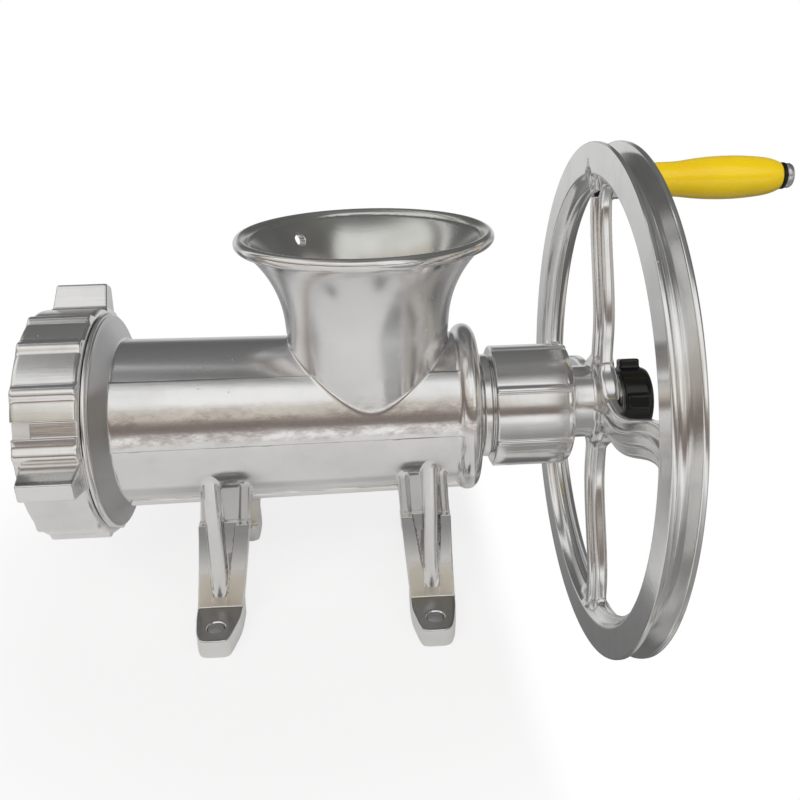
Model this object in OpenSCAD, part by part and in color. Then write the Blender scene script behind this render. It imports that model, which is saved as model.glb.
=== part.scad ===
// Hand-cranked meat grinder with a grooved wheel, bolted down by four feet.
// Millimetres, +Z up. The origin is the centre of the four foot holes on the feet's underside.
// +X runs along the barrel, from the cutting plate to the wheel.

/* [Barrel] */
// Height of the barrel axis above the underside of the feet
axis_h = 102; // [96:1:115]
// Distance from the foot holes' centre forward to the bell's shoulder
bell_setback = 113; // [105:1:125]
// Distance from the foot holes' centre back to the barrel's rear shoulder
rear_setback = 85.5; // [80:0.5:100]
// Wall of the barrel at the bell
barrel_front_wall = 7.7; // [6:0.1:10]
// Wall of the barrel at the rear
barrel_rear_wall = 5; // [4:0.1:9]
// Radius of the bore that the auger turns in
feed_bore_r = 36.5; // [34:0.1:38]
// Thickness of the barrel's rear wall
rear_wall_t = 17.5; // [12:0.5:22]
// How far the round bulge at the barrel's rear end stands out
bulge_h = 4.5; // [3:0.1:7]
// Thickness of the round bulge
bulge_t = 11.6; // [8:0.2:14]
// Height of the raised band on each side of the barrel
band_t = 0.8; // [0.4:0.1:1.5]
// Angle of the band's lower seam above the horizontal
band_low_a = 1; // [0:1:10]
// Angle of the band's upper seam above the horizontal
band_high_a = 48; // [40:1:55]
// Radius of the bead under each side of the barrel
bead_r = 2.6; // [2:0.1:3.5]
// Half the distance between the two beads
bead_y = 20; // [15:0.5:24]

/* [Bell] */
// How far the bell's flange stands out of the spigot
flange_step = 3.5; // [2.5:0.1:5]
// Thickness of the bell's flange
flange_t = 3; // [2:0.1:8]
// Length of the cone between flange and barrel
cone_len = 6.2; // [3:0.1:10]
// Wall of the threaded spigot around the cutting plate
spigot_wall = 5.7; // [4.5:0.1:8]
// Length of the threaded spigot
spigot_len = 27; // [24:0.5:32]
// Pitch of the spigot's thread
spigot_pitch = 6; // [4:0.5:6]
// Depth of the spigot's thread
spigot_thread = 1.6; // [1:0.1:2.2]

/* [Hopper] */
// Distance from the foot holes' centre back to the hopper axis
hopper_x = 28; // [15:0.5:35]
// Outside radius of the hopper's throat
throat_r = 43.3; // [42:0.1:46]
// Wall of the hopper
hopper_wall = 4.5; // [3.5:0.1:6]
// How far the hopper's rim stands out of its throat
rim_flare = 23.5; // [18:0.5:32]
// Height of the hopper's rim above the barrel axis
rim_h = 100; // [92:1:110]
// Height above the axis where the flare starts
flare_h = 50; // [46:1:56]
// Radius of the round bead on the rim
rim_bead_r = 3.3; // [2.5:0.1:4.5]
// How much the throat narrows from the flare to the barrel axis
throat_draft = 4.7; // [3:0.1:5]
// Radius of the hole drilled through the hopper wall
drain_r = 3; // [2:0.1:4]
// Height of the drilled hole above the barrel axis
drain_h = 88; // [80:1:90]
// Direction of the drilled hole about the hopper axis
drain_a = 133; // [100:1:170]

/* [Feet] */
// Spacing of the foot holes along the barrel
foot_dx = 115; // [105:1:125]
// Spacing of the foot holes across the barrel
foot_dy = 132; // [124:1:140]
// Radius of a foot hole
foot_hole_r = 4.5; // [3:0.1:5.5]
// Thickness of a foot
foot_t = 10.5; // [8:0.5:14]
// Wall around a foot hole, which gives the foot's rounded end
foot_wall = 7.7; // [6.5:0.1:10]
// Distance from a foot hole in to the leg's face
leg_inset = 17; // [15:0.5:19]
// Height of the ledge where the leg's lower plate starts
ledge_h = 55.5; // [48:0.5:60]
// Depth of the ledge
ledge_t = 5.5; // [4:0.5:7]
// Lean of a leg's face between ledge and foot
leg_lean = 9; // [6:0.5:12]
// Thickness of a leg's plate
leg_t = 9; // [7:0.5:11]
// Width of a leg at the ledge
leg_top_w = 27; // [24:0.5:30]
// How far a leg's top leans towards the middle of the barrel
leg_splay = 4; // [0:0.5:6]
// Radius of the round rib down each leg
leg_rib_r = 4.5; // [3.5:0.1:6]
// How far the rib's top lies in behind the ledge's edge
leg_rib_back = 4; // [2:0.5:6]

/* [Ring nut] */
// Wall of the ring nut
ring_wall = 6.2; // [5:0.1:9]
// Thickness of the lip that holds the cutting plate
lip_t = 4.8; // [3:0.1:7]
// How far the lip reaches in over the cutting plate
lip_hold = 4.5; // [3:0.1:7]
// Number of sectors, each with one lug
ring_sectors = 3; // [3:1:3]
// How far a lug stands out
lug_h = 14; // [9:0.5:18]
// Width of a lug at its tip
lug_tip_w = 9; // [7:0.5:12]
// Width of a lug at its root
lug_root_w = 15; // [13:0.5:18]
// Length of a lug along the axis
lug_len = 27.5; // [20:0.5:29]
// Length of the slope at a lug's rear end
lug_slope = 1; // [0.5:0.5:6]
// Radius of a rib's rounding
ring_rib_r = 4.5; // [3:0.1:5]
// How far a rib stands proud
ring_rib_h = 1.9; // [0.8:0.1:2.4]
// Width of a wrench notch
notch_w = 8; // [6:0.5:10]
// Length of a wrench notch from the front face
notch_len = 9.5; // [6:0.5:12]
// Depth of the flat behind a wrench notch
notch_flat = 1.2; // [0.8:0.1:2]

/* [Cutting parts] */
// Radius of the cutting plate
plate_r = 49; // [47:0.1:49.5]
// Thickness of the cutting plate
plate_t = 9; // [7:0.5:11]
// How far the plate stands out of the spigot
plate_proud = 1.5; // [1:0.1:3]
// Radius of a hole in the plate
plate_hole_r = 2.8; // [2:0.1:3.2]
// Spacing of the rings of holes
plate_ring_step = 8; // [7.5:0.1:8.2]
// Radius of the key pin that holds the plate
key_r = 2.5; // [2:0.1:3]
// Length of the key pin
key_len = 14; // [10:0.5:16]
// Thickness of the knife
knife_t = 12; // [9:0.5:12]
// Distance from the cutting plate's edge in to the knife's tips
knife_inset = 3; // [1.5:0.5:6]
// Wall of the knife's hub beside the stud's square
knife_hub_wall = 7; // [6:0.5:10]
// Width of a knife arm
knife_arm_w = 11; // [8:0.5:14]
// Width across the stud's square
stud_sq = 16; // [13:0.5:18]
// Radius of the stud's pilot pin
pilot_r = 6; // [5:0.1:6.5]
// Radius of the stud's shank in the auger
shank_r = 7; // [5.5:0.1:9]
// Length of the stud's shank in the auger
shank_len = 26; // [20:1:36]

/* [Auger] */
// Wall of the auger's core around the shaft's tail
core_wall = 7; // [5:0.5:10]
// Gap between the flight and the bore
flight_gap = 0.9; // [0.6:0.1:1.5]
// Pitch of the flight
flight_pitch = 42; // [36:1:50]
// Thickness of the flight at its edge
flight_tip_t = 6; // [4:0.5:8]
// Thickness of the flight at the core
flight_root_t = 11; // [9:0.5:14]
// How far the collar at the auger's rear end stands out of the core
collar_h = 10; // [6:0.5:13]
// Length of the collar
collar_len = 8; // [5:0.5:12]

/* [Drive] */
// Radius of the shaft in its bush
shaft_r = 14; // [12:0.1:14.5]
// Radius of the shaft's tail in the auger
tail_r = 9; // [7:0.1:10]
// Length of the shaft's tail in the auger
tail_len = 30; // [24:1:40]
// Radius of the cross pin
pin_r = 3; // [2:0.1:4]
// Radius of the shaft in the wheel hub
hub_shaft_r = 11; // [10:0.1:11.5]
// Radius of the threaded end of the shaft
thread_r = 8; // [6:0.1:9]
// Thickness of the thrust washer
thrust_t = 3; // [2:0.5:5]
// Radius of the thrust washer
thrust_r = 30; // [27:0.5:33]
// Wall of the bush
bush_wall = 5; // [3:0.1:6]
// How far the bush's flange stands out
bush_flange_h = 5; // [3:0.5:6]
// Thickness of the bush's flange
bush_flange_t = 3; // [2:0.5:5]
// Wall of the barrel's rear neck
neck_wall = 7; // [6:0.1:8]
// Length of the barrel's rear neck
neck_len = 34.5; // [28:0.5:40]
// How far the lock ring stands out of the neck
lock_h = 2.5; // [1.5:0.1:5]
// Thickness of the lock ring
lock_t = 5; // [3:0.5:8]
// Gap between the barrel's shoulder and the lock ring
lock_gap = 2.5; // [1:0.5:4]
// Wall of the rear nut's side
nut_side = 6.7; // [5.5:0.1:9]
// Thickness of the rear nut's end wall
nut_wall_t = 13.5; // [8:0.5:18]
// Number of ribs on the rear nut
nut_ribs = 7; // [5:1:9]
// Radius of a rear nut rib's rounding
nut_rib_r = 2.4; // [1.8:0.1:3]
// How far a rear nut rib stands proud
nut_rib_h = 1.1; // [0.6:0.1:1.6]

/* [Wheel] */
// Gap between the rear nut and the wheel hub
hub_gap = 1.5; // [1:0.1:3]
// Radius of the wheel
wheel_r = 140; // [130:1:150]
// Width of the wheel's rim
wheel_w = 15.7; // [14:0.1:18]
// Distance from the hub's front end to the rim's front face
wheel_offset = 10.5; // [8:0.5:13]
// Width of the land beside the belt groove
land_w = 2.6; // [2:0.1:3.2]
// Depth of the belt groove
groove_depth = 10.5; // [8:0.5:11]
// Width of the belt groove's floor
groove_floor_w = 3.2; // [2:0.1:4]
// Depth of the rim from its outer edge to its inner ridge
rim_depth = 22; // [20:0.5:24]
// Wall of the hub's front part
hub_wall = 9; // [7:0.5:11]
// Wall of the hub's rear part
hub_rear_wall = 6.5; // [5:0.5:7]
// Length of the hub
hub_len = 27; // [26:0.5:38]
// How far the disc that the spokes grow from stands out of the hub
spider_h = 5; // [3:0.5:8]
// Number of spokes
spokes = 4; // [3:1:5]
// Width of a spoke
spoke_w = 19; // [14:0.5:22]
// Thickness of a spoke
spoke_t = 6.5; // [5:0.5:9]
// Width of the rib along a spoke
spoke_rib_w = 6; // [4:0.5:9]
// Thickness of the rib along a spoke
spoke_rib_t = 11; // [8:0.5:13]
// Sideways step of a spoke between hub and rim
spoke_step = 21; // [0:1:28]
// Width of the wheel key
key_w = 6; // [4:0.5:7]
// Length of the wheel key
wheel_key_len = 21; // [16:1:22]

/* [Knob] */
// Thickness of the washer under the knob
hub_washer_t = 1.5; // [1:0.1:2.5]
// Width of the washer under the knob
hub_washer_w = 6; // [4:0.5:8]
// Wall of the knob beside the insert's flats
knob_wall = 6; // [4.5:0.5:9]
// Length of the knob
knob_len = 16.5; // [16:0.5:24]
// How far a knob lug stands out
knob_lug_h = 4.7; // [2:0.1:8]
// Width of a knob lug
knob_lug_w = 8; // [6:0.5:10]
// Length of a knob lug
knob_lug_len = 11; // [8:0.5:14]
// Wall of the knob's insert
insert_wall = 4; // [2.5:0.5:5]
// Length of the knob's insert
insert_len = 12; // [8:0.5:13]

/* [Handle] */
// Distance of the handle's axis in from the wheel's edge
crank_inset = 20.5; // [19.5:0.1:22.5]
// Angle of the handle from straight up, away from the hopper's near side
crank_a = 10; // [0:1:20]
// Wall of the boss that holds the spindle
boss_wall = 5.5; // [5:0.1:6.5]
// How far the boss stands out of the rim's rear face
boss_proud = 1.3; // [0.5:0.1:3]
// Length of the boss
boss_len = 8.6; // [7:0.2:9]
// Radius of the spindle inside the grip
spindle_r = 5; // [4.5:0.1:6]
// Radius of the spindle's thread in the boss
spindle_thread_r = 4; // [3:0.1:4.2]
// Wall of the spindle's nut at its flats
spindle_nut_wall = 2.5; // [1.5:0.1:2.8]
// Thickness of the spindle's nut
spindle_nut_t = 6.2; // [4:0.2:6.4]
// Length of the grip
grip_len = 85; // [70:1:110]
// Wall of the grip at the wheel
grip_in_wall = 4.1; // [3.5:0.1:7]
// Wall of the grip at its free end
grip_out_wall = 1.9; // [1.6:0.1:5]
// How far the grip swells where it is thickest
grip_belly = 3.8; // [0:0.1:5]
// Thickness of the washers beside the grip
grip_washer_t = 1.6; // [1:0.1:2.5]
// Width of the washers beside the grip
grip_washer_w = 2; // [1.8:0.1:3]
// How far the spindle's head stands out of the spindle
head_h = 1.5; // [1:0.1:2.5]
// Length of the spindle's head
head_len = 4.5; // [3:0.1:6]

/* [Clearances] */
// Radial clearance of a running fit
run_fit = 0.05; // [0.02:0.01:0.08]
// Radial clearance between pieces that stay put
seat_fit = 0.05; // [0.02:0.01:0.08]
// Clearance of threads and of pieces that draw apart
draw_gap = 0.3; // [0.2:0.05:0.4]
// Gap between faces that turn past each other
face_gap = 0.2; // [0.1:0.05:0.3]

/* [Hidden] */
$fn = 96;
// Length by which a cut runs past the face that it opens
past = 1;
edge = 1;
// Stations along the barrel, from the plate to the wheel
bell_x = -bell_setback;
spigot_x = bell_x - spigot_len;
plate_front_x = spigot_x - plate_proud;
plate_rear_x = plate_front_x + plate_t;
knife_front_x = plate_rear_x + face_gap;
knife_rear_x = knife_front_x + knife_t;
bell_floor_x = knife_rear_x + edge;
ring_front_x = plate_front_x - lip_t;
ring_rear_x = bell_x - draw_gap;
flange_rear_x = bell_x + flange_t;
barrel_front_x = flange_rear_x + cone_len;
rear_x = rear_setback;
rear_wall_x = rear_x - rear_wall_t;
auger_rear_x = rear_wall_x - thrust_t - face_gap;
bulge_x = rear_x - bulge_t / 2;
neck_end_x = rear_x + neck_len;
lock_x = rear_x + lock_gap;
nut_front_x = lock_x + lock_t + edge;
nut_floor_x = neck_end_x + bush_flange_t;
nut_rear_x = nut_floor_x + nut_wall_t;
hub_x = nut_rear_x + hub_gap;
wheel_x = hub_x + wheel_offset;
wheel_rear_x = wheel_x + wheel_w;
hub_rear_x = hub_x + hub_len;
knob_x = hub_rear_x + hub_washer_t;
boss_rear_x = wheel_rear_x + boss_proud;
boss_front_x = boss_rear_x - boss_len;
grip_x = boss_rear_x + grip_washer_t + face_gap;
grip_end_x = grip_x + grip_len;
head_x = grip_end_x + face_gap + grip_washer_t;
// Radii that follow from a fit or a wall
plate_bore_r = plate_r + draw_gap;
spigot_r = plate_bore_r + spigot_wall;
flange_r = spigot_r + flange_step;
ring_bore_r = spigot_r + draw_gap;
ring_r = ring_bore_r + ring_wall;
lug_r = ring_r + lug_h;
lip_r = plate_r - lip_hold;
knife_r = plate_r - knife_inset;
knife_hub_r = stud_sq / 2 + knife_hub_wall;
barrel_front_r = feed_bore_r + barrel_front_wall;
barrel_rear_r = feed_bore_r + barrel_rear_wall;
bulge_r = barrel_rear_r + bulge_h;
rim_r = throat_r + rim_flare;
foot_r = foot_hole_r + foot_wall;
flight_r = feed_bore_r - flight_gap;
core_r = tail_r + core_wall;
collar_r = core_r + collar_h;
bush_r = shaft_r + bush_wall;
bush_flange_r = bush_r + bush_flange_h;
neck_r = bush_r + neck_wall;
lock_r = neck_r + lock_h;
nut_bore_r = neck_r + draw_gap;
nut_r = nut_bore_r + nut_side;
hub_r = hub_shaft_r + hub_wall;
hub_rear_r = hub_shaft_r + hub_rear_wall;
spider_r = hub_r + spider_h;
hub_washer_r = thread_r + hub_washer_w;
insert_af = 2 * (thread_r + insert_wall);
knob_r = insert_af / 2 + knob_wall;
knob_lug_r = knob_r + knob_lug_h;
boss_r = spindle_thread_r + boss_wall;
spindle_nut_af = 2 * (spindle_thread_r + spindle_nut_wall);
grip_in_r = spindle_r + grip_in_wall;
grip_out_r = spindle_r + grip_out_wall;
grip_washer_r = spindle_r + grip_washer_w;
head_r = spindle_r + head_h;
// Flare of the hopper, an arc that leaves the throat upright
flare_rise = rim_h - rim_bead_r - flare_h;
flare_run = rim_r - rim_bead_r - throat_r + hopper_wall / 2;
flare_arc_r = (flare_rise * flare_rise + flare_run * flare_run) / (2 * flare_run);
flare_arc_a = asin(flare_rise / flare_arc_r);
flare_steps = 12;
// Legs, measured outwards from the barrel's centre plane
foot_y = foot_dy / 2;
leg_face_y = foot_y - leg_inset;
ledge_y = leg_face_y - leg_lean;
leg_root_h = axis_h - barrel_rear_r * 0.6;
leg_bend_h = mix(foot_t, ledge_h, 0.6);
leg_face_steps = 6;
// Ring nut pattern, in degrees from a lug's middle
ring_rib_angles = [11, 40, 64.5, 85.5];
ring_notch_angle = 23;
ring_lug_angle = 93.5;
nut_rib_angle = 55;
// Wheel
spider_mid = wheel_w / 2;
crank_r = wheel_r - crank_inset;
rim_in_r = wheel_r - rim_depth;
ridge_half_w = 1.5;
lip_chamfer = 3.6;
rim_lip_r = rim_in_r + lip_chamfer;
rim_edge_r = rim_lip_r + 2 * edge;
spoke_steps = 24;
spoke_bend_r = spider_r * 1.7;
spoke_flare_len = 12;
spoke_root_r = spider_r - 6 * edge;
spoke_tip_r = rim_in_r + 2 * edge;
pocket_r = spindle_nut_af / 2 / cos(30) + draw_gap;
knob_lug_angle = 72;
// Swell of the grip over its length, both as shares
grip_swell = [[0, 0], [0.2, 0.09], [0.33, 0.21], [0.38, 0.38], [0.44, 0.6], [0.53, 0.83], [0.62, 0.96],
    [0.7, 1], [0.76, 0.97], [0.85, 0.85], [0.91, 0.7], [0.96, 0.42], [1, 0]];

// Puts children on the barrel axis at station x: local z runs along +X, local x points up.
module along(x) {
    translate([x, 0, axis_h]) rotate([0, 90, 0]) rotate([0, 0, 180]) children();
}

// Puts children on the handle's axis at station x.
module on_handle(x) {
    along(x) rotate([0, 0, -crank_a]) translate([crank_r, 0, 0]) children();
}

// Straight rod between two points.
module rod(p, q, r) {
    d = q - p;
    length = norm(d);
    translate(p) rotate([0, acos(d[2] / length), atan2(d[1], d[0])]) cylinder(h = length, r = r);
}

// Ring or disc with a plain bore.
module washer(r_out, r_in, t) {
    difference() {
        cylinder(h = t, r = r_out);
        translate([0, 0, -past]) cylinder(h = t + 2 * past, r = r_in);
    }
}

function arc(c, r, a0, a1, n) = [for (i = [0:n]) let (a = a0 + (a1 - a0) * i / n)
    c + r * [cos(a), sin(a)]];
function ease(t) = t <= 0 ? 0 : t >= 1 ? 1 : t * t * (3 - 2 * t);
function mix(a, b, t) = a + (b - a) * t;
function barrel_r_at(x) = mix(barrel_front_r, barrel_rear_r,
    (x - barrel_front_x) / (rear_x - barrel_front_x));

// Outside of barrel, bell and neck as one turned shape.
module barrel_outside() {
    turns = floor((spigot_len - spigot_pitch) / spigot_pitch);
    thread = [for (i = [0:turns - 1]) let (x = spigot_x + edge + spigot_pitch * (i + 0.25))
        each [[spigot_r, x], [spigot_r - spigot_thread, x + spigot_pitch * 0.25],
            [spigot_r - spigot_thread, x + spigot_pitch * 0.4],
            [spigot_r, x + spigot_pitch * 0.65]]];
    along(0) rotate_extrude() polygon(concat(
        [[0, spigot_x], [spigot_r - edge, spigot_x], [spigot_r, spigot_x + edge]], thread,
        [[spigot_r, bell_x], [flange_r - edge, bell_x], [flange_r, bell_x + edge],
            [flange_r, flange_rear_x - edge], [flange_r - edge, flange_rear_x],
            [flange_r - 2 * edge, flange_rear_x], [barrel_front_r, barrel_front_x],
            [barrel_rear_r, rear_x - 2 * edge], [barrel_rear_r - 2 * edge, rear_x],
            [neck_r, rear_x], [neck_r, neck_end_x - edge], [neck_r - edge, neck_end_x],
            [0, neck_end_x]]));
    along(bulge_x) rotate_extrude() translate([bulge_r - bulge_t / 2, 0]) circle(r = bulge_t / 2);
}

// Raised band on both sides of the barrel, between its two seams.
module barrel_bands() {
    reach = 2 * barrel_front_r;
    length = bulge_x - barrel_front_x;
    intersection() {
        along(barrel_front_x)
            cylinder(h = length, r1 = barrel_front_r + band_t, r2 = barrel_r_at(bulge_x) + band_t);
        along(barrel_front_x) linear_extrude(height = length) for (side = [0, 1]) mirror([0, side])
            polygon(concat([[0, 0]], arc([0, 0], reach, 90 - band_high_a, 90 - band_low_a, 4)));
    }
}

// Beads along the lower sides, from the bell's flange to the bulge.
module barrel_beads() {
    for (side = [-1, 1])
        rod([flange_rear_x - edge, side * bead_y, axis_h - sqrt(pow(barrel_front_r, 2) - pow(bead_y, 2))],
            [bulge_x, side * bead_y, axis_h - sqrt(pow(barrel_rear_r, 2) - pow(bead_y, 2))], bead_r);
}

// Hopper outline as radius and height; inset moves it inwards by the wall.
function hopper_side(inset) = concat(
    [[throat_r - throat_draft - inset, 0]],
    [for (i = [0:flare_steps]) let (a = flare_arc_a * i / flare_steps)
        [throat_r + flare_arc_r * (1 - cos(a)) - inset * cos(a),
            flare_h + flare_arc_r * sin(a) + inset * sin(a)]]);

module hopper_outside() {
    side = hopper_side(0);
    translate([hopper_x, 0, axis_h]) {
        rotate_extrude() polygon(concat([[0, 0]], side, [[0, side[len(side) - 1][1]]]));
        rotate_extrude() translate([rim_r - rim_bead_r, rim_h - rim_bead_r]) circle(r = rim_bead_r);
    }
}

module hopper_inside() {
    side = hopper_side(hopper_wall);
    top = side[len(side) - 1];
    translate([hopper_x, 0, axis_h])
        rotate_extrude() polygon(concat([[0, 0]], side, [[top[0], rim_h + past], [0, rim_h + past]]));
}

// One leg: a leaning plate under a ledge, a thinner root, a round rib and the foot.
module leg() {
    face = [for (i = [0:leg_face_steps]) let (t = i / leg_face_steps)
        [mix(ledge_y, leg_face_y, t * t), mix(ledge_h, foot_t, t)]];
    plate = concat([[ledge_y - ledge_t, leg_root_h], [ledge_y - ledge_t, ledge_h]], face,
        [[leg_face_y + edge, 0], [leg_face_y - leg_t, 0], [leg_face_y - leg_t, foot_t / 2],
            [ledge_y - leg_t, leg_bend_h], [ledge_y - leg_t, ledge_h],
            [ledge_y - leg_t - edge, leg_root_h]]);
    half = leg_top_w / 2;
    intersection() {
        rotate([90, 0, 90]) translate([0, 0, -leg_top_w]) linear_extrude(height = 2 * leg_top_w)
            polygon(plate);
        rotate([90, 0, 0]) translate([0, 0, -foot_dy]) linear_extrude(height = 2 * foot_dy)
            polygon([[-foot_r, -past], [foot_r, -past], [foot_r, foot_t], [half - leg_splay, ledge_h],
                [half - leg_splay, leg_root_h + past], [-half - leg_splay, leg_root_h + past],
                [-half - leg_splay, ledge_h], [-foot_r, foot_t]]);
    }
    translate([-foot_r, leg_face_y - leg_t, 0]) cube([2 * foot_r, foot_y - leg_face_y + leg_t, foot_t]);
    translate([0, foot_y, 0]) cylinder(h = foot_t, r = foot_r);
    rod([0, ledge_y - leg_rib_back, leg_root_h], [0, leg_face_y - leg_rib_r, foot_t], leg_rib_r);
}

// Main casting: barrel, bell, hopper and legs.
module housing() color("gainsboro") difference() {
    union() {
        barrel_outside();
        barrel_bands();
        barrel_beads();
        hopper_outside();
        for (end = [0, 1], side = [0, 1]) mirror([end, 0, 0]) mirror([0, side, 0])
            translate([foot_dx / 2, 0, 0]) leg();
    }
    along(0) rotate_extrude() polygon([[0, spigot_x - past], [plate_bore_r, spigot_x - past],
        [plate_bore_r, bell_floor_x], [feed_bore_r, barrel_front_x - cone_len / 2],
        [feed_bore_r, rear_wall_x], [0, rear_wall_x]]);
    along(rear_wall_x - past) cylinder(h = rear_wall_t + neck_len + 2 * past, r = bush_r + seat_fit);
    hopper_inside();
    for (end = [-1, 1], side = [-1, 1]) translate([end * foot_dx / 2, side * foot_y, -past])
        cylinder(h = foot_t + 2 * past, r = foot_hole_r);
    translate([hopper_x, 0, axis_h + drain_h]) rotate([0, 0, drain_a]) rotate([0, 90, 0])
        cylinder(h = rim_r, r = drain_r);
    along(spigot_x - past) translate([-plate_bore_r, 0, 0])
        cylinder(h = key_len + past, r = key_r + seat_fit);
}

// Steel pin let into the bell's wall; the plate's notch slides on it.
module plate_key() color("dimgray") along(spigot_x) translate([-plate_bore_r, 0, 0])
    cylinder(h = key_len, r = key_r);

// Flanged bronze bush in the neck.
module rear_bush() color("darkgoldenrod") {
    along(rear_wall_x) washer(bush_r, shaft_r + run_fit, rear_wall_t + neck_len);
    along(neck_end_x) washer(bush_flange_r, shaft_r + run_fit, bush_flange_t);
}

// Plastic washer that takes the auger's thrust.
module thrust_washer() color("ivory") along(rear_wall_x - thrust_t)
    washer(thrust_r, shaft_r + draw_gap, thrust_t);

// Thin ring screwed on the neck ahead of the rear nut.
module lock_ring() color("silver") along(lock_x) washer(lock_r, neck_r + run_fit, lock_t);

// Ribbed cap nut that holds the bush in the neck.
module rear_nut() color("silver") along(nut_front_x) {
    length = nut_rear_x - nut_front_x;
    difference() {
        union() {
            rotate_extrude() polygon([[0, 0], [nut_r - edge, 0], [nut_r, edge], [nut_r, length - 3 * edge],
                [nut_r - 3 * edge, length], [0, length]]);
            for (i = [0:nut_ribs - 1]) rotate([0, 0, nut_rib_angle + 360 * i / nut_ribs])
                translate([nut_r + nut_rib_h - nut_rib_r, 0, edge])
                    cylinder(h = length - 3 * edge, r = nut_rib_r, $fn = 32);
        }
        translate([0, 0, -past]) cylinder(h = nut_floor_x - nut_front_x + past, r = nut_bore_r);
        cylinder(h = length + past, r = shaft_r + edge);
    }
}

// Drilled steel plate with a notch for the key and a bore for the pilot pin.
module cutting_plate() color("darkgray") along(plate_front_x) difference() {
    cylinder(h = plate_t, r = plate_r);
    translate([0, 0, -past]) {
        cylinder(h = plate_t + 2 * past, r = pilot_r + run_fit);
        translate([-plate_bore_r, 0, 0]) cylinder(h = plate_t + 2 * past, r = key_r + draw_gap);
        for (ring = [1:4]) for (i = [0:6 * ring - 1])
            rotate([0, 0, 360 * (i + 0.5) / (6 * ring)])
                translate([pilot_r + plate_ring_step * ring, 0, 0])
                    cylinder(h = plate_t + 2 * past, r = plate_hole_r, $fn = 24);
    }
}

// One lug of the ring nut, sloped at its rear end.
module ring_lug() {
    length = ring_rear_x - ring_front_x;
    root = ring_bore_r + edge;
    front = length - lug_len - edge;
    intersection() {
        linear_extrude(height = length) polygon([[root, -lug_root_w / 2], [ring_r, -lug_root_w / 2],
            [lug_r, -lug_tip_w / 2], [lug_r, lug_tip_w / 2], [ring_r, lug_root_w / 2],
            [root, lug_root_w / 2]]);
        rotate([90, 0, 0]) translate([0, 0, -lug_root_w]) linear_extrude(height = 2 * lug_root_w)
            polygon([[root, front], [lug_r, front], [lug_r, length - lug_slope], [ring_r, length],
                [root, length]]);
    }
}

// Screw ring with lugs, ribs and wrench notches.
module ring_nut() color("gainsboro") along(ring_front_x) {
    length = ring_rear_x - ring_front_x;
    sector = 360 / ring_sectors;
    difference() {
        union() {
            rotate_extrude() polygon([[lip_r, 0], [ring_r - 2 * edge, 0], [ring_r, 2 * edge],
                [ring_r, length - edge], [ring_r - edge, length], [lip_r, length]]);
            for (k = [0:ring_sectors - 1]) rotate([0, 0, ring_lug_angle + sector * k]) {
                ring_lug();
                for (a = ring_rib_angles) rotate([0, 0, -a])
                    translate([ring_r + ring_rib_h - ring_rib_r, 0, edge])
                        cylinder(h = length - 2 * edge, r = ring_rib_r, $fn = 32);
            }
        }
        translate([0, 0, lip_t]) cylinder(h = length, r = ring_bore_r);
        for (k = [0:ring_sectors - 1])
            rotate([0, 0, ring_lug_angle - ring_notch_angle + sector * k]) {
                translate([ring_bore_r + edge, -notch_w / 2, -past]) cube([lug_r, notch_w, notch_len + past]);
                translate([ring_r - notch_flat, -notch_w / 2, 0]) cube([lug_r, notch_w, length + past]);
            }
    }
}

// Four-armed steel knife, driven by the stud's square.
module knife() color("darkgray") along(knife_front_x) difference() {
    union() {
        cylinder(h = knife_t, r = knife_hub_r);
        for (k = [0:3]) rotate([0, 0, 90 * k]) linear_extrude(height = knife_t)
            polygon([[0, -knife_arm_w / 2], [knife_hub_r, -knife_arm_w / 2],
                [knife_r, -knife_arm_w * 0.2], [knife_r, knife_arm_w * 0.35],
                [knife_hub_r, knife_arm_w / 2], [0, knife_arm_w / 2]]);
    }
    hole = stud_sq + 2 * run_fit;
    translate([-hole / 2, -hole / 2, -past]) cube([hole, hole, knife_t + 2 * past]);
}

// Steel stud: shank in the auger, square for the knife, pilot pin for the plate.
module knife_stud() color("slategray") {
    along(knife_front_x) translate([-stud_sq / 2, -stud_sq / 2, 0]) cube([stud_sq, stud_sq, knife_t]);
    along(knife_rear_x - past) cylinder(h = shank_len + past, r = shank_r);
    along(plate_front_x - edge) cylinder(h = knife_front_x - plate_front_x + edge + past, r = pilot_r);
}

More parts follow.
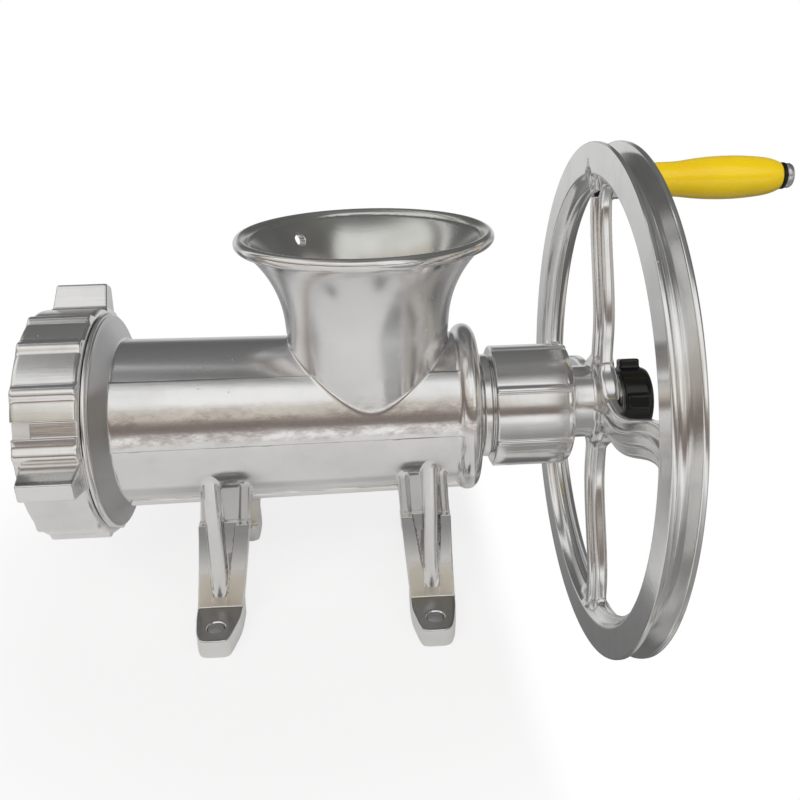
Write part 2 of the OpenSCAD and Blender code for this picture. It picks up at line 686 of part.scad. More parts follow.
// Feed screw as one closed skin: the core's facets run between the turns of the flight.
// Each ring of the flight has four corners, from the core out, over and back to the core.
module screw(length) {
    steps = 24;
    rings = floor((length - flight_root_t - 2 * edge) * steps / flight_pitch);
    section = [[core_r, 0], [flight_r, (flight_root_t - flight_tip_t) / 2],
        [flight_r, (flight_root_t + flight_tip_t) / 2], [core_r, flight_root_t]];
    flight_points = [for (i = [0:rings]) for (c = section)
        [c[0] * cos(360 * i / steps), -c[0] * sin(360 * i / steps),
            edge + flight_pitch * i / steps + c[1]]];
    end_points = [for (z = [0, length]) for (j = [0:steps - 1])
        [core_r * cos(360 * j / steps), -core_r * sin(360 * j / steps), z]];
    function corner(i, k) = 4 * i + k;
    function front(i) = 4 * (rings + 1) + i % steps;
    function rear(i) = 4 * (rings + 1) + steps + i % steps;
    function above(i) = i + steps <= rings ? corner(i + steps, 0) : rear(i);
    flanks = [for (i = [0:rings - 1]) for (k = [0:2]) each [
        [corner(i + 1, k + 1), corner(i, k + 1), corner(i, k)],
        [corner(i + 1, k), corner(i + 1, k + 1), corner(i, k)]]];
    front_core = [for (i = [0:steps - 2]) [front(i + 1), corner(i + 1, 0), corner(i, 0), front(i)]];
    core = [for (i = [0:rings - 1]) if (i != rings - steps)
        [corner(i + 1, 3), above(i + 1), above(i), corner(i, 3)]];
    seams = [
        [front(steps - 1), front(0), corner(0, 0), corner(0, 3), corner(steps, 0), corner(steps - 1, 0)],
        [corner(rings - steps + 1, 3), rear(rings + 1), rear(rings), corner(rings, 3), corner(rings, 0),
            corner(rings - steps, 3)]];
    caps = [[for (k = [0:3]) corner(0, k)], [for (k = [3:-1:0]) corner(rings, k)],
        [for (j = [steps - 1:-1:0]) front(j)], [for (j = [0:steps - 1]) rear(j)]];
    polyhedron(concat(flight_points, end_points), concat(flanks, front_core, core, seams, caps),
        convexity = 10);
}

// Feed screw with a collar at its rear end, bored for the stud, the shaft's tail and the cross pin.
module auger() color("lightgray") difference() {
    length = auger_rear_x - knife_rear_x;
    along(knife_rear_x) {
        screw(length - collar_len + edge);
        translate([0, 0, length - collar_len]) cylinder(h = collar_len, r = collar_r);
    }
    along(knife_rear_x - past) cylinder(h = shank_len + past, r = shank_r + seat_fit);
    along(auger_rear_x - tail_len) cylinder(h = tail_len + past, r = tail_r + seat_fit);
    along(auger_rear_x - collar_len / 2) rotate([90, 0, 0])
        cylinder(h = 4 * collar_r, r = pin_r + seat_fit, center = true);
}

// Steel shaft from the auger's tail hole to the knob's thread.
module drive_shaft() color("slategray") difference() {
    union() {
        along(auger_rear_x - tail_len) cylinder(h = tail_len + past, r = tail_r);
        along(auger_rear_x) cylinder(h = hub_x - auger_rear_x, r = shaft_r);
        along(hub_x - past) cylinder(h = hub_len - edge + past, r = hub_shaft_r);
        along(hub_x) cylinder(h = knob_x - hub_x + insert_len, r = thread_r);
    }
    along(auger_rear_x - collar_len / 2) rotate([90, 0, 0])
        cylinder(h = 4 * collar_r, r = pin_r + seat_fit, center = true);
    along(hub_x + edge) wheel_key_block(seat_fit);
}

// Steel cross pin through auger and shaft.
module shaft_pin() color("dimgray") along(auger_rear_x - collar_len / 2) rotate([90, 0, 0])
    cylinder(h = 2 * collar_r - 2 * edge, r = pin_r, center = true);

module wheel_key_block(grow) {
    translate([hub_shaft_r - key_w / 2 - grow, -key_w / 2 - grow, -grow])
        cube([key_w + 2 * grow, key_w + 2 * grow, wheel_key_len + 2 * grow]);
}

// Square key in the hub.
module wheel_key() color("dimgray") along(hub_x + edge) wheel_key_block(0);

function spoke_mid(r) = -spoke_step
    * ease((r - spoke_bend_r) / (rim_in_r - spoke_flare_len / 2 - spoke_bend_r));

// Outline of one S-shaped spoke of width w, straight up before it is turned to its place.
module spoke_shape(w) {
    rs = [for (i = [0:spoke_steps]) mix(spoke_root_r, spoke_tip_r, i / spoke_steps)];
    flare = [for (r = rs) 1 + pow(max(0, r - rim_in_r + spoke_flare_len) / spoke_flare_len, 2) / 3];
    polygon(concat([for (i = [0:spoke_steps]) [rs[i], spoke_mid(rs[i]) + w / 2 * flare[i]]],
        [for (i = [spoke_steps:-1:0]) [rs[i], spoke_mid(rs[i]) - w / 2 * flare[i]]]));
}

// Cast pulley wheel with S-shaped spokes, a long hub and the handle's boss.
module wheel() color("silver") difference() {
    union() {
        along(wheel_x) {
            half_floor = groove_floor_w / 2;
            rotate_extrude($fn = 180) polygon([[wheel_r, 0], [wheel_r, land_w],
                [wheel_r - groove_depth, spider_mid - half_floor],
                [wheel_r - groove_depth, spider_mid + half_floor], [wheel_r, wheel_w - land_w],
                [wheel_r, wheel_w], [rim_edge_r, wheel_w], [rim_lip_r, wheel_w - lip_chamfer],
                [rim_in_r, spider_mid + ridge_half_w], [rim_in_r, spider_mid - ridge_half_w],
                [rim_lip_r, lip_chamfer],
                [rim_edge_r, 0]]);
            for (k = [0:spokes - 1]) rotate([0, 0, 360 * k / spokes]) {
                translate([0, 0, spider_mid - spoke_t / 2]) linear_extrude(height = spoke_t)
                    spoke_shape(spoke_w);
                translate([0, 0, spider_mid - spoke_rib_t / 2]) linear_extrude(height = spoke_rib_t)
                    spoke_shape(spoke_rib_w);
            }
            translate([0, 0, spider_mid - spoke_rib_t / 2]) cylinder(h = spoke_rib_t, r = spider_r);
        }
        along(hub_x) cylinder(h = wheel_offset + spider_mid, r = hub_r);
        along(hub_x) cylinder(h = hub_len, r = hub_rear_r);
        on_handle(boss_front_x) cylinder(h = boss_len, r = boss_r);
    }
    along(hub_x - past) cylinder(h = hub_len + 2 * past, r = hub_shaft_r + seat_fit);
    along(hub_x - past) wheel_keyway();
    on_handle(wheel_x - past) cylinder(h = boss_front_x - wheel_x + past, r = pocket_r);
    on_handle(wheel_x) cylinder(h = wheel_w + boss_proud + past, r = spindle_thread_r + seat_fit);
}

module wheel_keyway() {
    translate([0, -key_w / 2 - seat_fit, 0])
        cube([hub_shaft_r + key_w / 2 + seat_fit, key_w + 2 * seat_fit, wheel_key_len + 2 * edge + past]);
}

// Steel spindle: threaded end, plain length inside the grip, round head.
module spindle() color("lightsteelblue") {
    on_handle(boss_front_x - spindle_nut_t - edge)
        cylinder(h = boss_len + spindle_nut_t + edge + past, r = spindle_thread_r);
    on_handle(boss_rear_x) cylinder(h = head_x - boss_rear_x + past, r = spindle_r);
    on_handle(head_x) cylinder(h = head_len, r = head_r);
}

// Hexagon nut on the spindle's threaded end.
module spindle_nut() color("lightsteelblue") on_handle(boss_front_x - spindle_nut_t) difference() {
    cylinder(h = spindle_nut_t, r = spindle_nut_af / 2 / cos(30), $fn = 6);
    translate([0, 0, -past]) cylinder(h = spindle_nut_t + 2 * past, r = spindle_thread_r + seat_fit);
}

module inner_washer() color("dimgray") on_handle(boss_rear_x)
    washer(grip_washer_r, spindle_r + seat_fit, grip_washer_t);

module outer_washer() color("dimgray") on_handle(head_x - grip_washer_t)
    washer(grip_washer_r, spindle_r + seat_fit, grip_washer_t);

// Turned grip, slimmer towards its free end.
module grip() color("gold") on_handle(grip_x) {
    side = [for (s = grip_swell)
        [mix(grip_in_r, grip_out_r, s[0]) + grip_belly * s[1], grip_len * s[0]]];
    difference() {
        rotate_extrude() polygon(concat([[0, 0]], side, [[0, grip_len]]));
        translate([0, 0, -past]) cylinder(h = grip_len + 2 * past, r = spindle_r + run_fit);
    }
}

// Washer that the knob presses on the hub.
module hub_washer() color("silver") along(hub_rear_x)
    washer(hub_washer_r, thread_r + draw_gap, hub_washer_t);

// Black hand nut with four lugs, closed at its end.
module knob() color("black") along(knob_x) difference() {
    union() {
        rotate_extrude() polygon([[0, 0], [knob_r - edge, 0], [knob_r, edge],
            [knob_r, knob_len - 2 * edge], [knob_r - 2 * edge, knob_len], [0, knob_len]]);
        for (k = [0:3]) rotate([0, 0, knob_lug_angle + 90 * k])
            translate([0, -knob_lug_w / 2, edge]) cube([knob_lug_r, knob_lug_w, knob_lug_len]);
    }
    cylinder(h = 2 * (insert_len + seat_fit), r = insert_af / 2 / cos(30) + seat_fit, $fn = 6, center = true);
    cylinder(h = insert_len + 2 * edge, r = thread_r + draw_gap);
}

// Brass insert with the knob's thread.
module knob_insert() color("goldenrod") along(knob_x) difference() {
    cylinder(h = insert_len, r = insert_af / 2 / cos(30), $fn = 6);
    translate([0, 0, -past]) cylinder(h = insert_len + 2 * past, r = thread_r + draw_gap);
}

housing();
plate_key();
rear_bush();
thrust_washer();
lock_ring();
rear_nut();
cutting_plate();
ring_nut();
knife();
knife_stud();
auger();
drive_shaft();
shaft_pin();
wheel();
wheel_key();
spindle();
spindle_nut();
inner_washer();
outer_washer();
grip();
hub_washer();
knob();
knob_insert();
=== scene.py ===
import math
from itertools import product

import bpy
import numpy as np
from mathutils import Matrix, Vector


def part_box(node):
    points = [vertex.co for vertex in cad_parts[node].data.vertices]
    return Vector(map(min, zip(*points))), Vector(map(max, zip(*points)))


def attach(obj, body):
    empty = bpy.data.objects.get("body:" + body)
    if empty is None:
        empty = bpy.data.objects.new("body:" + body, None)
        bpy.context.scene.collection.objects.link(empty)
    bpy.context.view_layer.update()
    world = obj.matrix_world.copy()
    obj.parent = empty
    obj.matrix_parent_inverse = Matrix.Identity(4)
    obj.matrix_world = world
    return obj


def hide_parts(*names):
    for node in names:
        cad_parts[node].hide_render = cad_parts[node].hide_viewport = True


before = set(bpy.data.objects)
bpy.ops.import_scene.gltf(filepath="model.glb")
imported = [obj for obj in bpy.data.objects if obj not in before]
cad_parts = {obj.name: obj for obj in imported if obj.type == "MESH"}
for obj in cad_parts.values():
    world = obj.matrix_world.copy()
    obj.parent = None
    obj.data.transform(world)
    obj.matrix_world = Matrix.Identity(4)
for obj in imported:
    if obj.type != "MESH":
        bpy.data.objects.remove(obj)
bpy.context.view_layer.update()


# Housing: barrel, bell, hopper and four legs are one aluminium casting, polished bright outside.
# The bore, the bell and the neck are turned; the foot holes and the small hole in the hopper are
# drilled. Lengths are millimetres until a skin becomes a piece, which is in metres.
MM = 0.001
coarse = 1.0


def ends(node, axis):
    """Where a CAD piece starts and ends along an axis, in millimetres."""
    return [round(corner[axis] / MM, 1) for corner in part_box(node)]


SPIGOT_FRONT, NECK_END = ends("housing", 0)
AXIS_H = sum(ends("wheel", 2)) / 2


def soft_min(a, b, fillet):
    """Union of two fields with a fillet between them."""
    h = np.clip(0.5 + 0.5 * (b - a) / fillet, 0, 1)
    return b + (a - b) * h - fillet * h * (1 - h)


def soft_max(a, b, fillet):
    """Common part of two fields with a rounded edge between them."""
    return -soft_min(-a, -b, fillet)


def ramp(t):
    """Smooth step from 0 to 1."""
    t = np.clip(t, 0, 1)
    return t * t * (3 - 2 * t)


def from_axis(y, z):
    """Distance from the barrel's axis, and degrees above the horizontal on the near side."""
    return np.hypot(y, z - AXIS_H), np.degrees(np.arctan2(z - AXIS_H, -y))


def rounded(a, b, edge):
    """Common part of two faces, with a round edge of that radius between them."""
    a, b = a + edge, b + edge
    outside = np.hypot(np.maximum(a, 0), np.maximum(b, 0))
    return outside + np.minimum(np.maximum(a, b), 0) - edge


def disc(x, r, start, end, radius, edge):
    """Turned disc between two stations, with rounded edges."""
    return rounded(np.abs(x - (start + end) / 2) - (end - start) / 2, r - radius, edge)


def slab(t, start, end):
    """Layer between two planes."""
    return np.maximum(start - t, t - end)


def rod(x, y, z, start, end, radius):
    """Round rod with round ends."""
    d = np.subtract(end, start)
    off = (x - start[0], y - start[1], z - start[2])
    t = np.clip(sum(o * e for o, e in zip(off, d)) / np.dot(d, d), 0, 1)
    return np.sqrt(sum((o - e * t) ** 2 for o, e in zip(off, d))) - radius


def rounded_outline(corners, radius, steps=6):
    """Closed outline with each corner replaced by a short curve."""
    corners = [np.array(c, float) for c in corners]
    before, after = corners[-1:] + corners[:-1], corners[1:] + corners[:1]
    out = []
    for last, corner, following in zip(before, corners, after):
        start, end = (corner + way * min(0.45, radius / np.linalg.norm(way))
                      for way in (last - corner, following - corner))
        for t in np.arange(steps + 1) / steps:
            out.append((1 - t) ** 2 * start + 2 * t * (1 - t) * corner + t * t * end)
    return out


def inside_outline(u, v, outline):
    """Signed distance to a closed outline in a plane."""
    nearest = np.full(np.shape(u), 1e9)
    sign = np.ones(np.shape(u))
    for a, b in zip(outline, outline[1:] + outline[:1]):
        e = b - a
        du, dv = u - a[0], v - a[1]
        t = np.clip((du * e[0] + dv * e[1]) / max(np.dot(e, e), 1e-12), 0, 1)
        nearest = np.minimum(nearest, (du - e[0] * t) ** 2 + (dv - e[1] * t) ** 2)
        above, below = v >= a[1], v < b[1]
        left = e[0] * dv > e[1] * du
        sign = np.where((above & below & left) | (~above & ~below & ~left), -sign, sign)
    return sign * np.sqrt(nearest)


def slope_of(field, x, y, z, reach):
    """Gradient of a field at scattered points."""
    total = np.zeros((len(x), 3))
    for way in np.array([(1, -1, -1), (-1, -1, 1), (-1, 1, -1), (1, 1, 1)], float):
        there = field(x + reach * way[0], y + reach * way[1], z + reach * way[2])
        total += there[:, None] * way
    return total / (4 * reach)


def straight(a, b, c):
    """Grid along x, y and z."""
    return a, b, c


def round_axis(a, b, c):
    """Grid of stations, radii and degrees round the barrel's axis: turned edges follow it."""
    return a, -b * np.cos(np.radians(c)), AXIS_H + b * np.sin(np.radians(c))


def skin(field, low, high, step, grid=straight):
    """Vertices, faces and normals on the zero surface of a field."""
    step = np.array(step, float) * coarse
    low, high = np.array(low, float), np.array(high, float)
    margin = np.array([2.5, 2.5, 2.5])
    if grid is round_axis:
        step[2] = 360 / math.ceil(360 / step[2])
        margin[2] = 0
        high[2] = low[2] + 360 + step[2]
    low = low - margin * step
    count = np.round((high + margin * step - low) / step).astype(int) + 1
    axes = [low[i] + step[i] * np.arange(count[i]) for i in range(3)]
    value = np.empty(count, np.float32)

    # The field is worked out block by block; a block that lies far from the surface gets one value.
    block = 12
    for first in product(*(range(0, c, block) for c in count)):
        window = tuple(slice(f, f + block) for f in first)
        part = [axis[w] for axis, w in zip(axes, window)]
        span = [p[-1] - p[0] for p in part]
        if grid is round_axis:
            span[2] = math.radians(span[2]) * abs(part[1][-1])
        centre = field(*grid(*[np.array([(p[0] + p[-1]) / 2]) for p in part]))[0]
        if abs(centre) > 0.7 * math.hypot(*span) + 3 * max(step[0], step[1]):
            value[window] = centre
        else:
            value[window] = field(*grid(*np.meshgrid(*part, indexing="ij")))

    # Each cell that the surface passes through holds one vertex, amid the crossings of its edges.
    inside = value < 0
    shape = tuple(c - 1 for c in count)
    corners = list(product((0, 1), repeat=3))
    total = sum(inside[tuple(slice(c, c + s) for c, s in zip(corner, shape))].astype(np.int8)
                for corner in corners)
    cells = np.argwhere((total > 0) & (total < 8))
    index = np.full(shape, -1, np.int64)
    index[tuple(cells.T)] = np.arange(len(cells))
    crossing, hits = np.zeros((len(cells), 3)), np.zeros(len(cells))
    for a, axis in product(corners, range(3)):
        if a[axis]:
            continue
        b = tuple(v + (n == axis) for n, v in enumerate(a))
        va, vb = (value[tuple((cells + c).T)].astype(float) for c in (a, b))
        cut = (va < 0) != (vb < 0)
        t = np.where(cut, va / np.where(cut, va - vb, 1), 0)
        crossing += (np.array(a, float) + t[:, None] * np.subtract(b, a)) * cut[:, None]
        hits += cut
    spots = np.stack(grid(*(low + step * (cells + crossing / hits[:, None])).T), axis=1)

    # Each edge that the surface cuts joins the vertices of the four cells round it into a face.
    faces = []
    for axis in range(3):
        u, v = [n for n in range(3) if n != axis]
        ahead, behind = [slice(None)] * 3, [slice(None)] * 3
        ahead[axis], behind[axis] = slice(1, None), slice(None, -1)
        edges = np.argwhere(inside[tuple(behind)] != inside[tuple(ahead)])
        edges = edges[(edges[:, u] > 0) & (edges[:, u] < shape[u])
                      & (edges[:, v] > 0) & (edges[:, v] < shape[v])]
        around = []
        for du, dv in ((0, 0), (-1, 0), (-1, -1), (0, -1)):
            near = edges.copy()
            near[:, u] += du
            near[:, v] += dv
            around.append(index[tuple(near.T)])
        faces.append(np.stack(around, axis=1))
    faces = np.concatenate(faces)

    # The vertices are drawn onto the field itself, whose gradient gives the normals.
    fine = float(min(step[0], step[1]))
    for _ in range(4):
        away, slope = field(*spots.T), slope_of(field, *spots.T, reach=0.12 * fine)
        move = away[:, None] * slope / np.maximum((slope ** 2).sum(1), 0.2)[:, None]
        length = np.linalg.norm(move, axis=1)
        spots = spots - move * np.minimum(1, 0.6 * fine / np.maximum(length, 1e-9))[:, None]
    normals = slope_of(field, *spots.T, reach=0.25 * fine)
    normals /= np.maximum(np.linalg.norm(normals, axis=1), 1e-9)[:, None]
    p = spots[faces]
    facing = np.cross(p[:, 2] - p[:, 0], p[:, 3] - p[:, 1])
    wrong = (facing * normals[faces].sum(1)).sum(1) < 0
    faces[wrong] = faces[wrong][:, ::-1]
    return spots, faces, normals


def object_of(name, mesh):
    """Object in the scene for a mesh, smooth all over."""
    mesh.polygons.foreach_set("use_smooth", np.ones(len(mesh.polygons), bool))
    piece = bpy.data.objects.new(name, mesh)
    bpy.context.scene.collection.objects.link(piece)
    return piece


def piece_of(name, *skins):
    """Object in metres made of one or more skins."""
    spots, faces, normals, first = [], [], [], 0
    for s in skins:
        spots.append(s[0] * MM)
        faces.append(s[1] + first)
        normals.append(s[2])
        first += len(s[0])
    mesh = bpy.data.meshes.new(name)
    mesh.from_pydata(np.concatenate(spots).tolist(), [], np.concatenate(faces).tolist())
    piece = object_of(name, mesh)
    mesh.normals_split_custom_set_from_vertices(np.concatenate(normals).tolist())
    mesh.update()
    return piece


# Hopper side as radius over height above the axis: a throat with draft, then a flare on one arc,
# all softened a little.
HOPPER_X, HOPPER_WALL, RIM_R, RIM_H, RIM_BEAD = 28.0, 4.5, 63.5, 96.7, 3.3
THROAT_R, THROAT_DRAFT, FLARE_H, FLARE_R, LIP_SLOPE = 38.6, 4.7, 50.0, 59.8, 1.25
TABLE_STEP, SOFTENING, SOFT_STEPS = 0.05, 2.6, 160
side_h = np.arange(-30, 130, TABLE_STEP)
flare_at = np.clip(side_h - FLARE_H, 0, RIM_H - FLARE_H)
flare_r = THROAT_R + THROAT_DRAFT + FLARE_R - np.sqrt(FLARE_R ** 2 - flare_at ** 2)
side_r = np.where(side_h < FLARE_H, THROAT_R + THROAT_DRAFT * side_h / FLARE_H, flare_r)
side_r = side_r + np.maximum(side_h - RIM_H, 0) * LIP_SLOPE
blur = np.exp(-0.5 * (np.arange(-SOFT_STEPS, SOFT_STEPS + 1) * TABLE_STEP / SOFTENING) ** 2)
side_r = np.convolve(np.pad(side_r, SOFT_STEPS, mode="edge"), blur / blur.sum(), mode="valid")
side_slope = np.gradient(side_r, side_h)


def hopper_outside(x, y, z):
    h = z - AXIS_H
    r = np.hypot(x - HOPPER_X, y)
    slant = np.sqrt(1 + np.interp(h, side_h, side_slope) ** 2)
    return (r - np.interp(h, side_h, side_r)) / slant


# The barrel tapers to the rear and carries a raised band on each side, and two beads underneath.
BARREL_FRONT, BARREL_LEN, BARREL_R, BARREL_TAPER = -103.8, 189.3, 44.2, 2.7
BAND_T, BAND_LOW, BAND_TOP, BAND_EDGE = 0.8, 0.6, 48.4, 0.8
BEAD_Y, BEAD_R = 20.0, 2.9
CONE_END, CONE_R, CONE_SLOPE, CONE_SLANT = -103.4, 44.4, 1.87, 0.472
BULGE_X, BULGE_MID_R, BULGE_ROUND = 79.7, 40.2, 5.8
BORE_R, BORE_FRONT, BORE_SLOPE, BORE_SLANT = 36.5, -106, 0.96, 0.72
PLATE_SEAT, BELL_R, SHAFT_HOLE_R = -119.3, 49.3, 19.05
PITCH, SPIGOT_THREAD = 6, 0.8
DRAIN_H, DRAIN_R, DRAIN_WAY = 88, 3, math.radians(133)


def barrel_r(x):
    return BARREL_R - BARREL_TAPER * np.clip((x - BARREL_FRONT) / BARREL_LEN, 0, 1)


def casting(x, y, z):
    """Barrel, bell, neck and hopper, without the legs."""
    r, angle = from_axis(y, z)
    side_angle = np.degrees(np.arctan2(z - AXIS_H, np.abs(y)))
    band = BAND_T * ramp((side_angle - BAND_LOW) / BAND_EDGE)
    band = band * ramp((BAND_TOP - side_angle) / BAND_EDGE)
    barrel = np.maximum(r - barrel_r(x) - band, slab(x, start=-106, end=84))
    flange = soft_min(disc(x, r, start=-113.2, end=-111.2, radius=58.5, edge=0.5),
                      disc(x, r, start=-112, end=-109.9, radius=57.6, edge=0.4), fillet=0.4)
    cone = (r - CONE_R - (CONE_END - x) * CONE_SLOPE) * CONE_SLANT
    cone = np.maximum(cone, slab(x, start=-111, end=-100))
    thread = SPIGOT_THREAD * np.cos(2 * math.pi * (x / PITCH - angle / 360)) - SPIGOT_THREAD
    spigot = disc(x, r - thread, start=SPIGOT_FRONT, end=-110, radius=55, edge=1.2) * 0.8
    bulge = soft_min(np.hypot(x - BULGE_X, r - BULGE_MID_R) - BULGE_ROUND,
                     disc(x, r, start=70, end=85.5, radius=39.5, edge=2), fillet=1)
    neck = disc(x, r, start=80, end=NECK_END, radius=26, edge=1)
    solid = soft_min(soft_min(barrel, cone, fillet=0.7), flange, fillet=0.4)
    solid = np.minimum(soft_min(np.minimum(solid, spigot), bulge, fillet=1.5), neck)
    hopper = soft_max(hopper_outside(x, y, z), slab(z - AXIS_H, start=0, end=RIM_H), fillet=0.8)
    rim = np.hypot(np.hypot(x - HOPPER_X, y) - RIM_R, z - AXIS_H - RIM_H) - RIM_BEAD
    solid = soft_min(solid, soft_min(hopper, rim, fillet=0.9), fillet=1.2)
    for side in (-BEAD_Y, BEAD_Y):
        bead = rod(x, y, z, start=(-107, side, 62.5), end=(80, side, 65.5), radius=BEAD_R)
        solid = soft_min(solid, bead, fillet=0.5)
    bell = disc(x, r, start=-150, end=PLATE_SEAT, radius=BELL_R, edge=0.5)
    taper = (r - BORE_R - np.maximum(BORE_FRONT - x, 0) * BORE_SLOPE) * BORE_SLANT
    taper = np.maximum(taper, slab(x, start=-119.5, end=68))
    shaft_hole = disc(x, r, start=50, end=130, radius=SHAFT_HOLE_R, edge=0.3)
    bore = np.minimum(np.minimum(bell, taper), shaft_hole)
    throat = np.maximum(hopper_outside(x, y, z) + HOPPER_WALL, AXIS_H - z)
    solid = soft_max(solid, -np.minimum(bore, throat), fillet=0.8)
    across = (x - HOPPER_X) * math.sin(DRAIN_WAY) - y * math.cos(DRAIN_WAY)
    out = (x - HOPPER_X) * math.cos(DRAIN_WAY) + y * math.sin(DRAIN_WAY)
    drain = np.maximum(np.hypot(across, z - AXIS_H - DRAIN_H) - DRAIN_R, 30 - out)
    return soft_max(solid, -drain, fillet=0.5)


# A leg stands on a drilled foot. Its polished plate ends in a ledge, above which a thinner wall
# with two ribs goes on to the barrel; a round rib runs down the middle, with a scooped hollow on
# its inner side. The front legs lean more and are scooped further down.
LEG_X, FOOT_Y, LEDGE_H, FOOT_T, FOOT_HOLE_R = 57.5, 66.0, 55.5, 10.5, 4.5
PLATE_HALF, PLATE_DRAFT, PLATE_FACE, PLATE_SPLAY, PLATE_T = 13.5, 1.3, 40.0, 9.0, 9.5
SCOOP_HALF, SCOOP_DEPTH, SCOOP_RUN = 4.0, 3.2, 25
WALL_HALF, WALL_Y, WALL_HALF_T, WALL_TOP = 13.0, 32.0, 2.5, 82
FRONT_LEAN, FRONT_TIP, FRONT_SPREAD, FRONT_SPREAD_OUT = 5.0, 13.0, 6.8, 0.0
REAR_LEAN, REAR_TIP, REAR_SPREAD, REAR_SPREAD_OUT = 2.5, 21.0, 5.6, 1.2
COUNTERSINK = 0.9
# Each side rib has a place across, a distance from the middle and a radius.
SIDE_RIBS = ((-10.2, 33.4, 3.0), (10.4, 33.6, 2.6))
foot_outline = rounded_outline([(12.2, 36), (12.2, 54), (9.8, 71), (6.8, 78.2),
                                (-6.5, 78.2), (-8.6, 75), (-12.2, 58), (-12.2, 36)], radius=5.0)


def leg(x, y, z):
    rise = LEDGE_H - FOOT_T
    lean = np.where(x < 0, FRONT_LEAN, REAR_LEAN) * np.clip((z - FOOT_T) / rise, 0, 1.45)
    u, w = np.abs(x) - LEG_X, np.abs(y)
    v = u + lean
    t = np.clip((LEDGE_H - z) / rise, 0, 1.3)
    face = PLATE_FACE + PLATE_SPLAY * t * t
    plate = soft_max(np.abs(v) - PLATE_HALF + PLATE_DRAFT * np.clip(t, 0, 1), (w - face) * 0.94,
                     fillet=0.9)
    plate = soft_max(plate, slab(z, start=1, end=LEDGE_H), fillet=0.8)
    plate = np.maximum(plate, face - PLATE_T - w)
    tip = np.where(x < 0, FRONT_TIP, REAR_TIP)
    spread = np.clip((z - tip) / (LEDGE_H - tip), 0, 1.3) ** 1.1
    scoop_in = SCOOP_HALF + np.where(x < 0, FRONT_SPREAD, REAR_SPREAD) * spread
    spread_out = np.where(x < 0, FRONT_SPREAD_OUT, REAR_SPREAD_OUT)
    scoop_out = SCOOP_HALF + spread_out * np.clip((z - 20) / 20, 0, 1)
    depth = SCOOP_DEPTH * np.clip((z - tip) / SCOOP_RUN, 0, 1)
    scoop = np.where(u < 0, -u - scoop_in, u - scoop_out) * 0.95
    plate = soft_max(plate, -np.maximum(scoop, face - depth - w), fillet=0.5)
    wall = soft_max(np.abs(v) - WALL_HALF, np.abs(w - WALL_Y) - WALL_HALF_T, fillet=0.8)
    wall = np.maximum(wall, slab(z, start=46, end=WALL_TOP))
    ribs = np.minimum(*(np.hypot(v - place, w - out) - radius for place, out, radius in SIDE_RIBS))
    ribs = np.maximum(ribs, slab(z, start=50, end=WALL_TOP))
    foot = soft_max(inside_outline(u, w, foot_outline), z - FOOT_T, fillet=1.3)
    foot = soft_max(foot, -z, fillet=0.5)
    middle = rod(u, w, z, start=(0.0, 34.1, 92.0), end=(0.0, 43.5, 9.0), radius=4.5)
    solid = soft_min(soft_min(plate, wall, fillet=0.9), ribs, fillet=0.9)
    solid = soft_min(soft_min(solid, middle, fillet=0.8), foot, fillet=0.7)

    # A collar of the barrel's surface comes along, so that the leg runs into it with a fillet.
    r, _ = from_axis(y, z)
    solid = soft_min(solid, r - barrel_r(x) + 0.12, fillet=1.6)
    inner = np.maximum(14 - w, barrel_r(x) - 2 - r)
    solid = np.maximum(solid, np.maximum(np.abs(v + 1) - 19, inner))
    solid = np.maximum(solid, z - 90)
    countersink = COUNTERSINK * np.clip(1 - np.abs(z - FOOT_T) / COUNTERSINK, 0, 1)
    hole = np.hypot(u, w - FOOT_Y) - FOOT_HOLE_R - countersink
    return soft_max(solid, -np.maximum(hole, z - 20), fillet=0.5)


skins = [skin(casting, low=(SPIGOT_FRONT, 17, 0), high=(NECK_END, 121.5, 360),
              step=(0.8, 0.95, 0.75), grid=round_axis)]
for leg_start, leg_end in ((-76, -36), (38, 76)):
    near = skin(leg, low=(leg_start, -78.4, 0), high=(leg_end, -14, 90), step=(0.62, 0.62, 0.62))
    flip = np.array([1, -1, 1])
    skins += [near, (near[0] * flip, near[1][:, ::-1], near[2] * flip)]
housing_piece = piece_of("housing_casting", *skins)


